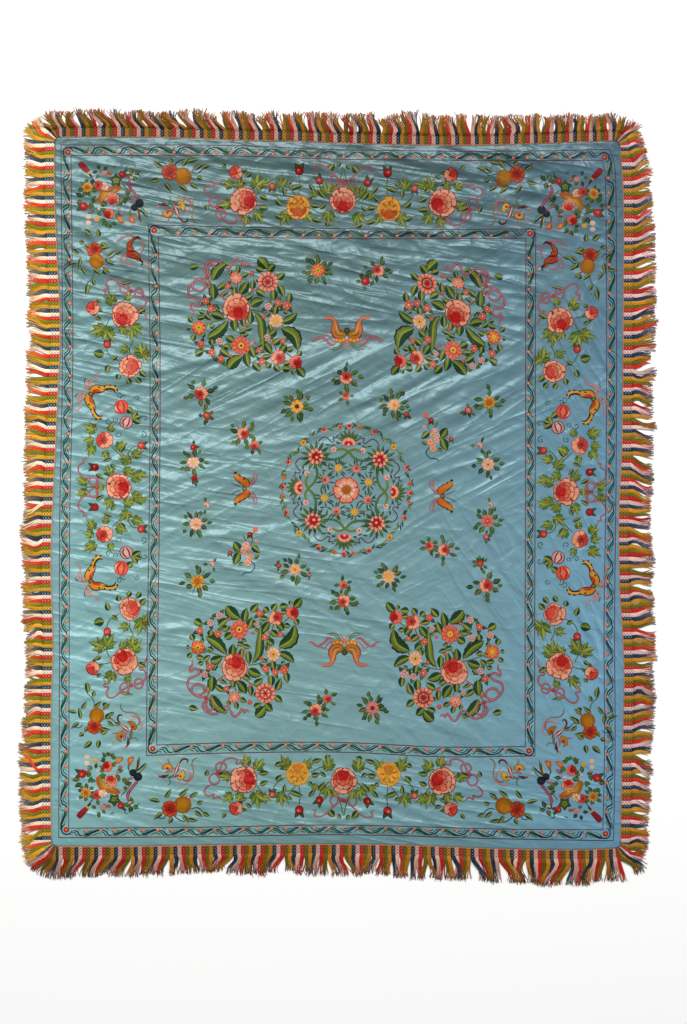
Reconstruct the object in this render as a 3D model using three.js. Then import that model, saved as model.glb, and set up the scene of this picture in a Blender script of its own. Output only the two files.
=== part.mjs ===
// Manila shawl laid flat: one width of embroidered silk with a short braided fringe on all four sides.
// Millimetres, +Z up. It lies on z = 0 and the origin is under the middle of the fringe's outline.
import * as THREE from "three";

// Walls and seams.
const CLOTH_WALL = 2.0;
const SEAM_GAP = 0.4;

// The silk before its edges bow in and out, and the radius of its corners.
const CLOTH_WIDTH = 1505;
const CLOTH_LENGTH = 1870;
const CLOTH_MIDDLE = { x: -2.5, y: 10 };
const CORNER_RADIUS = 16;

// The grid of the silk's two faces, and the hem that stays down where the folds run out.
const CELLS_ACROSS = 44;
const CELLS_ALONG = 54;
const FLAT_HEM = 45;
const RESTS_BELOW = 0.8;
const FOLD_RUNS_OUT = 2.5;

// The fringe's heading, its locks' half widths as shares of their spacing, how high their middles and tips
// lie, and how far they sway and differ in length from one to the next.
const HEADING_DEPTH = 27;
const HEADING_WALL = 2.6;
const SPACED_AT = 45;
const LOCK_HALF = { root: 0.34, middle: 0.35, tip: 0.25 };
const LOCK_MIDDLE = { low: 0.9, high: 3.4 };
const LOCK_TIP = { low: 0.5, high: 1.9 };
const LOCK_SWAY = { most: 3, turn: 2.4 };
const LOCK_UNEVEN = { most: 3, turn: 1.7 };

// Turns plain rows into objects with named columns.
function rows(columns, values) {
  return values.map((row) => Object.fromEntries(columns.map((name, i) => [name, row[i]])));
}

// Where each edge of the silk runs.
const LEFT_EDGE = rows(["at", "edge"], [
  [-900, -761], [-814, -763], [-562, -762], [-403, -757], [-178, -763], [-5, -757],
  [114, -751], [233, -746], [432, -738], [631, -746], [790, -753], [940, -753],
]);
const RIGHT_EDGE = rows(["at", "edge"], [
  [-900, 748], [-694, 752], [-469, 757], [-323, 751], [-244, 746], [-45, 743],
  [127, 751], [330, 754], [525, 755], [740, 756], [860, 752], [940, 745],
]);
const TOP_EDGE = rows(["at", "edge"], [
  [-740, 957], [-552, 957], [-393, 954], [-287, 949], [-102, 946], [17, 941],
  [163, 937], [322, 935], [454, 937], [587, 942], [735, 947],
]);
const BOTTOM_EDGE = rows(["at", "edge"], [
  [-740, -924], [-552, -924], [-367, -921], [-44, -918], [189, -921],
  [428, -930], [640, -933], [735, -929],
]);

// The largest folds, each a soft ridge along a bowed crest from (x0, y0) to (x1, y1).
const FOLDS = rows(["x0", "y0", "x1", "y1", "bow", "half", "high"], [
  // from the left hem and under the top of the inner frame
  [-745, 755, -620, 690, 0, 21, 4],
  [-740, 660, -355, 610, -29, 21, 7],
  [-500, 700, -320, 675, 0, 21, 4],
  [-500, 615, 15, 645, 32, 24, 6],
  // slanting down to the right past the middle of the upper field
  [-185, 600, 175, 515, 0, 24, 7],
  [-140, 530, 170, 465, 0, 24, 5],
  [-480, 570, -310, 520, 0, 21, 4],
  [-480, 490, -320, 425, 0, 21, 5],
  [-745, 445, -500, 410, -11, 21, 4],
  // the long folds that rise to the right across the field
  [-620, 295, -260, 380, 11, 24, 8],
  [-405, 265, 15, 400, 0, 24, 7],
  [-235, 235, 175, 405, 8, 24, 7],
  [5, 230, 360, 390, 0, 24, 6],
  [45, 175, 515, 385, 0, 24, 7],
  [230, 185, 515, 330, 0, 24, 5],
  // nearly level folds at the left of the middle
  [-745, 250, -610, 210, 0, 21, 4],
  [-745, 150, -610, 160, 0, 21, 4],
  [-500, 140, -95, 155, -19, 24, 7],
  [-505, 60, -240, 80, -19, 24, 6],
  [-505, -15, -240, 35, 0, 21, 6],
  [-485, -75, -10, -140, 16, 21, 5],
  // low slanting folds under the middle
  [-670, -195, -370, -245, 0, 21, 5],
  [-335, -165, 25, -305, 0, 21, 5],
  [-105, -120, 170, -265, 0, 21, 4],
  [10, -330, 170, -405, 0, 21, 4],
  [50, -170, 280, -20, 0, 21, 3],
  [355, -165, 495, -380, 0, 24, 5],
  [-635, -550, -355, -510, 0, 21, 3],
  [210, -570, 405, -650, 0, 21, 3],
  // beside the upper right bouquet and in the right band
  [420, 580, 565, 540, 0, 21, 4],
  [420, 505, 535, 475, 0, 21, 4],
  [420, 440, 535, 445, 0, 21, 4],
  [620, 625, 725, 475, 0, 21, 4],
  // in and under the top band
  [-555, 890, -345, 780, 0, 24, 5],
  [-380, 945, -25, 875, 0, 24, 5],
  [10, 920, 405, 845, 11, 24, 6],
  [240, 930, 725, 855, 16, 24, 5],
  [250, 790, 565, 820, -8, 21, 4],
  [90, 715, 370, 685, 0, 21, 4],
  [290, 660, 470, 675, 0, 21, 4],
]);

// The four runs of fringe, clockwise seen from above: how many locks each has, and along it, from 0 to 1,
// how far the tips reach from the silk and how far they lean forwards along the run.
const FRINGES = {
  top: {
    facing: 90,
    locks: 54,
    shape: rows(["at", "reach", "lean"], [
      [0, 68, -12], [0.12, 70, -24], [0.35, 72, -18], [0.55, 80, -5], [0.8, 75, 3], [1, 68, 8],
    ]),
  },
  right: {
    facing: 0,
    locks: 66,
    shape: rows(["at", "reach", "lean"], [
      [0, 60, -8], [0.08, 74, -12], [0.25, 84, -9], [0.38, 78, 8], [0.5, 85, 12], [0.75, 82, 0],
      [0.9, 74, 3], [1, 68, 0],
    ]),
  },
  bottom: {
    facing: -90,
    locks: 54,
    shape: rows(["at", "reach", "lean"], [
      [0, 84, -6], [0.12, 92, 4], [0.3, 82, -6], [0.5, 82, 5], [0.72, 73, 8], [0.9, 79, 14], [1, 80, 10],
    ]),
  },
  left: {
    facing: 180,
    locks: 66,
    shape: rows(["at", "reach", "lean"], [
      [0, 78, -8], [0.1, 78, -4], [0.28, 72, 3], [0.42, 78, -4], [0.6, 82, 4], [0.8, 79, 0], [1, 78, 6],
    ]),
  },
};

// Smooth value of a column between the rows of a table sorted by "at".
function smoothAt(table, column, at) {
  const last = table.length - 1;
  const past = table.findIndex((row) => row.at > at);
  const from = past === -1 ? last - 1 : Math.max(0, past - 1);
  const slope = (k) => {
    const a = table[Math.max(0, k - 1)];
    const b = table[Math.min(last, k + 1)];
    return (b[column] - a[column]) / (b.at - a.at);
  };
  const p = table[from];
  const q = table[from + 1];
  const span = q.at - p.at;
  const t = THREE.MathUtils.clamp((at - p.at) / span, 0, 1);
  const t2 = t * t;
  const t3 = t2 * t;
  return (2 * t3 - 3 * t2 + 1) * p[column] + (t3 - 2 * t2 + t) * span * slope(from)
    + (3 * t2 - 2 * t3) * q[column] + (t3 - t2) * span * slope(from + 1);
}

// A point of the silk's outline or inside it: u runs from left to right, v from bottom to top.
function clothPoint(u, v) {
  const { lerp } = THREE.MathUtils;
  const x = CLOTH_MIDDLE.x + CLOTH_WIDTH * (u - 0.5);
  const y = CLOTH_MIDDLE.y + CLOTH_LENGTH * (v - 0.5);
  return new THREE.Vector2(
    lerp(smoothAt(LEFT_EDGE, "edge", y), smoothAt(RIGHT_EDGE, "edge", y), u),
    lerp(smoothAt(BOTTOM_EDGE, "edge", x), smoothAt(TOP_EDGE, "edge", x), v),
  );
}

// Height of one fold's ridge above the floor at (x, y).
function foldHeight(fold, x, y) {
  const run = new THREE.Vector2(fold.x1 - fold.x0, fold.y1 - fold.y0);
  const length = run.length();
  run.divideScalar(length);
  const along = ((x - fold.x0) * run.x + (y - fold.y0) * run.y) / length;
  if (along <= 0 || along >= 1) return 0;
  const crest = fold.bow * 4 * along * (1 - along);
  const aside = (y - fold.y0) * run.x - (x - fold.x0) * run.y - crest;
  const fade = THREE.MathUtils.smoothstep(Math.min(along, 1 - along) * length, 0, FOLD_RUNS_OUT * fold.half);
  return fold.high * fade * Math.exp(-((aside / fold.half) ** 2));
}

// How far the silk's underside is lifted off the floor by its folds. It lies flat between them and along
// the hem.
function liftAt(u, v, point) {
  const inside = Math.min(Math.min(u, 1 - u) * CLOTH_WIDTH, Math.min(v, 1 - v) * CLOTH_LENGTH);
  const hem = THREE.MathUtils.smoothstep(inside, 0, FLAT_HEM);
  const sum = FOLDS.reduce((total, fold) => total + foldHeight(fold, point.x, point.y), 0);
  return hem * Math.max(0, sum - RESTS_BELOW);
}

// Collects the points and outward faces of one closed mesh.
class Faces {
  constructor() {
    this.points = [];
    this.index = [];
  }

  point(x, y, z) {
    this.points.push(x, y, z);
    return this.points.length / 3 - 1;
  }

  triangle(a, b, c) {
    this.index.push(a, b, c);
  }

  quad(a, b, c, d) {
    this.triangle(a, b, c);
    this.triangle(a, c, d);
  }

  geometry() {
    const geometry = new THREE.BufferGeometry();
    geometry.setAttribute("position", new THREE.Float32BufferAttribute(this.points, 3));
    geometry.setIndex(this.index);
    geometry.computeVertexNormals();
    return geometry;
  }
}

// The silk: a wall of even thickness over its folds, flat on the floor between them.
function clothGeometry() {
  const faces = new Faces();
  const top = [];
  const under = [];
  for (let j = 0; j <= CELLS_ALONG; j += 1) {
    for (let i = 0; i <= CELLS_ACROSS; i += 1) {
      const u = i / CELLS_ACROSS;
      const v = j / CELLS_ALONG;
      const point = clothPoint(u, v);
      if ((u === 0 || u === 1) && (v === 0 || v === 1)) {
        const inset = CORNER_RADIUS * (1 - Math.SQRT1_2);
        point.x += u === 0 ? inset : -inset;
        point.y += v === 0 ? inset : -inset;
      }
      const lift = liftAt(u, v, point);
      under.push(faces.point(point.x, point.y, lift));
      top.push(faces.point(point.x, point.y, lift + CLOTH_WALL));
    }
  }
  const at = (i, j) => j * (CELLS_ACROSS + 1) + i;
  for (let j = 0; j < CELLS_ALONG; j += 1) {
    for (let i = 0; i < CELLS_ACROSS; i += 1) {
      const corners = [at(i, j), at(i + 1, j), at(i + 1, j + 1), at(i, j + 1)];
      faces.quad(...corners.map((k) => top[k]));
      faces.quad(...corners.reverse().map((k) => under[k]));
    }
  }
  const rim = [];
  for (let i = 0; i < CELLS_ACROSS; i += 1) rim.push(at(i, 0));
  for (let j = 0; j < CELLS_ALONG; j += 1) rim.push(at(CELLS_ACROSS, j));
  for (let i = CELLS_ACROSS; i > 0; i -= 1) rim.push(at(i, CELLS_ALONG));
  for (let j = CELLS_ALONG; j > 0; j -= 1) rim.push(at(0, j));
  rim.forEach((from, k) => {
    const to = rim[(k + 1) % rim.length];
    faces.quad(under[from], under[to], top[to], top[from]);
  });
  return faces.geometry();
}

// The silk's edge on one side of the shawl, walked clockwise from 0 to 1.
function edgeWalk(facing, s) {
  if (facing === 90) return clothPoint(s, 1);
  if (facing === 0) return clothPoint(1, 1 - s);
  if (facing === -90) return clothPoint(1 - s, 0);
  return clothPoint(0, s);
}

function heading(degrees) {
  const angle = THREE.MathUtils.degToRad(degrees);
  return new THREE.Vector2(Math.cos(angle), Math.sin(angle));
}

// Points just outside the silk with the way outwards at each, from one corner's diagonal to the next.
function fringePath(facing) {
  const outwards = heading(facing);
  const forwards = heading(facing - 90);
  const radius = CORNER_RADIUS + SEAM_GAP;
  const diagonal = 45 - THREE.MathUtils.radToDeg(SEAM_GAP / 2 / radius);
  const corner = (s, turn) => edgeWalk(facing, s)
    .addScaledVector(outwards, -CORNER_RADIUS).addScaledVector(forwards, turn * CORNER_RADIUS);
  const path = [];
  const arcSteps = 8;
  const straightSteps = 160;
  const first = corner(0, 1);
  const last = corner(1, -1);
  for (let k = 0; k < arcSteps; k += 1) {
    const out = heading(facing + diagonal * (1 - k / arcSteps));
    path.push({ point: first.clone().addScaledVector(out, radius), out });
  }
  const margin = CORNER_RADIUS / edgeWalk(facing, 0).distanceTo(edgeWalk(facing, 1));
  for (let k = 0; k <= straightSteps; k += 1) {
    const s = THREE.MathUtils.lerp(margin, 1 - margin, k / straightSteps);
    path.push({ point: edgeWalk(facing, s).addScaledVector(outwards, SEAM_GAP), out: outwards.clone() });
  }
  for (let k = 1; k <= arcSteps; k += 1) {
    const out = heading(facing - diagonal * (k / arcSteps));
    path.push({ point: last.clone().addScaledVector(out, radius), out });
  }
  return path;
}

// Reads the path at a share of its length, measured where the locks spread.
function pathReader(path) {
  const outer = path.map(({ point, out }) => point.clone().addScaledVector(out, SPACED_AT));
  const lengths = [0];
  outer.slice(1).forEach((point, k) => lengths.push(lengths[k] + point.distanceTo(outer[k])));
  const whole = lengths[lengths.length - 1];
  const read = (share) => {
    const aim = share * whole;
    const past = lengths.findIndex((length) => length > aim);
    const from = past === -1 ? path.length - 2 : past - 1;
    const t = (aim - lengths[from]) / (lengths[from + 1] - lengths[from]);
    return {
      point: path[from].point.clone().lerp(path[from + 1].point, t),
      out: path[from].out.clone().lerp(path[from + 1].out, t).normalize(),
    };
  };
  return { read, whole };
}

// One section of a lock or of the heading's outer edge: its two lower and two upper corners.
function section(faces, left, right, low, high) {
  return {
    leftLow: faces.point(left.x, left.y, low),
    rightLow: faces.point(right.x, right.y, low),
    rightHigh: faces.point(right.x, right.y, high),
    leftHigh: faces.point(left.x, left.y, high),
  };
}

// A lock of floss from its root in the heading to its loose tip, just above the floor.
function addLock(faces, root, start, shape, half) {
  const forwards = new THREE.Vector2(start.out.y, -start.out.x);
  const stage = (share, width, height) => {
    const middle = start.point.clone()
      .addScaledVector(start.out, THREE.MathUtils.lerp(HEADING_DEPTH, shape.reach, share))
      .addScaledVector(forwards, shape.lean * share * share + shape.sway * share);
    return section(
      faces,
      middle.clone().addScaledVector(forwards, -width),
      middle.clone().addScaledVector(forwards, width),
      height.low,
      height.high,
    );
  };
  const stages = [root, stage(0.5, half.middle, LOCK_MIDDLE), stage(1, half.tip, LOCK_TIP)];
  for (let k = 0; k < stages.length - 1; k += 1) {
    const a = stages[k];
    const b = stages[k + 1];
    faces.quad(a.leftHigh, a.rightHigh, b.rightHigh, b.leftHigh);
    faces.quad(a.leftLow, b.leftLow, b.rightLow, a.rightLow);
    faces.quad(a.rightLow, b.rightLow, b.rightHigh, a.rightHigh);
    faces.quad(a.leftLow, a.leftHigh, b.leftHigh, b.leftLow);
  }
  const tip = stages[stages.length - 1];
  faces.quad(tip.rightLow, tip.leftLow, tip.leftHigh, tip.rightHigh);
}

// One run of fringe: a woven heading beside the silk, with its locks fused to the outer edge.
function fringeGeometry({ facing, locks, shape }) {
  const faces = new Faces();
  const { read, whole } = pathReader(fringePath(facing));
  const spacing = whole / locks;
  const rim = (share) => {
    const { point, out } = read(share);
    return point.addScaledVector(out, HEADING_DEPTH);
  };
  const upright = (point) => ({
    low: faces.point(point.x, point.y, 0),
    high: faces.point(point.x, point.y, HEADING_WALL),
  });
  const closeGap = (inner, before, after) => {
    faces.triangle(inner.high, after.high, before.high);
    faces.triangle(inner.low, before.low, after.low);
    faces.quad(after.low, before.low, before.high, after.high);
  };
  const firstInner = upright(read(0).point);
  const firstOuter = upright(rim(0));
  faces.quad(firstInner.low, firstInner.high, firstOuter.high, firstOuter.low);
  let inner = firstInner;
  let before = firstOuter;
  for (let k = 0; k < locks; k += 1) {
    const middle = (k + 0.5) / locks;
    const side = LOCK_HALF.root / locks;
    const root = section(faces, rim(middle - side), rim(middle + side), 0, HEADING_WALL);
    closeGap(inner, before, { low: root.leftLow, high: root.leftHigh });
    const next = upright(read((k + 1) / locks).point);
    faces.triangle(inner.high, root.rightHigh, root.leftHigh);
    faces.triangle(inner.high, next.high, root.rightHigh);
    faces.triangle(inner.low, root.leftLow, root.rightLow);
    faces.triangle(inner.low, root.rightLow, next.low);
    faces.quad(inner.low, next.low, next.high, inner.high);
    addLock(faces, root, read(middle), {
      reach: smoothAt(shape, "reach", middle) + LOCK_UNEVEN.most * Math.sin(LOCK_UNEVEN.turn * k + facing),
      lean: smoothAt(shape, "lean", middle),
      sway: LOCK_SWAY.most * Math.sin(LOCK_SWAY.turn * k + facing),
    }, { middle: LOCK_HALF.middle * spacing, tip: LOCK_HALF.tip * spacing });
    inner = next;
    before = { low: root.rightLow, high: root.rightHigh };
  }
  const lastOuter = upright(rim(1));
  closeGap(inner, before, lastOuter);
  faces.quad(inner.low, lastOuter.low, lastOuter.high, inner.high);
  return faces.geometry();
}

const silk = new THREE.MeshStandardMaterial({ color: "#7ea6a6", roughness: 0.45, metalness: 0 });
const floss = new THREE.MeshStandardMaterial({ color: "#a8663a", roughness: 0.6, metalness: 0 });

const shawl = new THREE.Group();
const ground = new THREE.Mesh(clothGeometry(), silk);
ground.name = "ground";
shawl.add(ground);

for (const [side, run] of Object.entries(FRINGES)) {
  const fringe = new THREE.Mesh(fringeGeometry(run), floss);
  fringe.name = `fringe_${side}`;
  shawl.add(fringe);
}

export default shawl;
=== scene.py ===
# A silk shawl laid flat: embroidered turquoise satin with a short braided fringe of five colours.
# Lengths are in millimetres and places on the cloth are in pixels of the photograph, and both turn to
# metres in the frame of the solids when a mesh is made.
import math

import bpy
import numpy as np
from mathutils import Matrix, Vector


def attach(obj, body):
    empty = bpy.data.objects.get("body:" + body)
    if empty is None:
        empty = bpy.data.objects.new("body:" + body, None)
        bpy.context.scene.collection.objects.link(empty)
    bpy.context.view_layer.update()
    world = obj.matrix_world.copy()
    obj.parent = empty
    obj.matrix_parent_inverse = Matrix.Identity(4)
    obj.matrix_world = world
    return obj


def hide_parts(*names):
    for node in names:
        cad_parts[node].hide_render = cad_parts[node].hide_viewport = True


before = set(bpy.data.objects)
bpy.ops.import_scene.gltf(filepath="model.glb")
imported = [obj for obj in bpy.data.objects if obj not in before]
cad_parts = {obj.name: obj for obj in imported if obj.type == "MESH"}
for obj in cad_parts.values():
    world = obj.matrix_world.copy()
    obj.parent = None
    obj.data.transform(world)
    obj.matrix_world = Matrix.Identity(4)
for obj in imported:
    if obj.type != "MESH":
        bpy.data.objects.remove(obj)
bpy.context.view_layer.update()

MM = 0.001
MM_PER_PIXEL = 2.65
PHOTO_WIDTH = 687
PHOTO_HEIGHT = 1024
PHOTO_ORIGIN = (338.5, 498.0)
rng = np.random.default_rng(1907)


def rows(columns, values):
    """Plain rows as dictionaries with named columns."""
    names = columns.split()
    return [dict(zip(names, row)) for row in values]


def to_mm(px, py):
    """A place in the photograph as millimetres in the frame of the solids."""
    return (px - PHOTO_ORIGIN[0]) * MM_PER_PIXEL, (PHOTO_ORIGIN[1] - py) * MM_PER_PIXEL


def linear(hex_colour):
    """An sRGB colour such as "cc3344" as linear red, green and blue."""
    c = np.array([int(hex_colour[i:i + 2], 16) for i in (0, 2, 4)]) / 255.0
    return np.where(c <= 0.04045, c / 12.92, ((c + 0.055) / 1.055) ** 2.4)


# The silk's outline and largest folds in mm, as in the solids. The edges are points that it runs through, and
# each fold is a ridge from (x0, y0) to (x1, y1), with the bow to its left, its half width and its height.
CLOTH_WIDTH = 1505.0
CLOTH_LENGTH = 1870.0
CLOTH_MIDDLE = (-2.5, 10.0)
CORNER_RADIUS = 16.0
SEAM_GAP = 0.4
FLAT_HEM = 45.0
RESTS_BELOW = 0.8
FOLD_RUNS_OUT = 2.5
HEADING_DEPTH = 27.0
SPACED_AT = 45.0

LEFT_EDGE = np.array([
    (-900, -761), (-814, -763), (-562, -762), (-403, -757), (-178, -763), (-5, -757),
    (114, -751), (233, -746), (432, -738), (631, -746), (790, -753), (940, -753),
], float)
RIGHT_EDGE = np.array([
    (-900, 748), (-694, 752), (-469, 757), (-323, 751), (-244, 746), (-45, 743),
    (127, 751), (330, 754), (525, 755), (740, 756), (860, 752), (940, 745),
], float)
TOP_EDGE = np.array([
    (-740, 957), (-552, 957), (-393, 954), (-287, 949), (-102, 946), (17, 941),
    (163, 937), (322, 935), (454, 937), (587, 942), (735, 947),
], float)
BOTTOM_EDGE = np.array([
    (-740, -924), (-552, -924), (-367, -921), (-44, -918), (189, -921),
    (428, -930), (640, -933), (735, -929),
], float)

FOLDS = rows("x0 y0 x1 y1 bow half high", [
    (-745, 755, -620, 690, 0, 21, 4),
    (-740, 660, -355, 610, -29, 21, 7),
    (-500, 700, -320, 675, 0, 21, 4),
    (-500, 615, 15, 645, 32, 24, 6),
    (-185, 600, 175, 515, 0, 24, 7),
    (-140, 530, 170, 465, 0, 24, 5),
    (-480, 570, -310, 520, 0, 21, 4),
    (-480, 490, -320, 425, 0, 21, 5),
    (-745, 445, -500, 410, -11, 21, 4),
    (-620, 295, -260, 380, 11, 24, 8),
    (-405, 265, 15, 400, 0, 24, 7),
    (-235, 235, 175, 405, 8, 24, 7),
    (5, 230, 360, 390, 0, 24, 6),
    (45, 175, 515, 385, 0, 24, 7),
    (230, 185, 515, 330, 0, 24, 5),
    (-745, 250, -610, 210, 0, 21, 4),
    (-745, 150, -610, 160, 0, 21, 4),
    (-500, 140, -95, 155, -19, 24, 7),
    (-505, 60, -240, 80, -19, 24, 6),
    (-505, -15, -240, 35, 0, 21, 6),
    (-485, -75, -10, -140, 16, 21, 5),
    (-670, -195, -370, -245, 0, 21, 5),
    (-335, -165, 25, -305, 0, 21, 5),
    (-105, -120, 170, -265, 0, 21, 4),
    (10, -330, 170, -405, 0, 21, 4),
    (50, -170, 280, -20, 0, 21, 3),
    (355, -165, 495, -380, 0, 24, 5),
    (-635, -550, -355, -510, 0, 21, 3),
    (210, -570, 405, -650, 0, 21, 3),
    (420, 580, 565, 540, 0, 21, 4),
    (420, 505, 535, 475, 0, 21, 4),
    (420, 440, 535, 445, 0, 21, 4),
    (620, 625, 725, 475, 0, 21, 4),
    (-555, 890, -345, 780, 0, 24, 5),
    (-380, 945, -25, 875, 0, 24, 5),
    (10, 920, 405, 845, 11, 24, 6),
    (240, 930, 725, 855, 16, 24, 5),
    (250, 790, 565, 820, -8, 21, 4),
    (90, 715, 370, 685, 0, 21, 4),
    (290, 660, 470, 675, 0, 21, 4),
])

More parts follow.
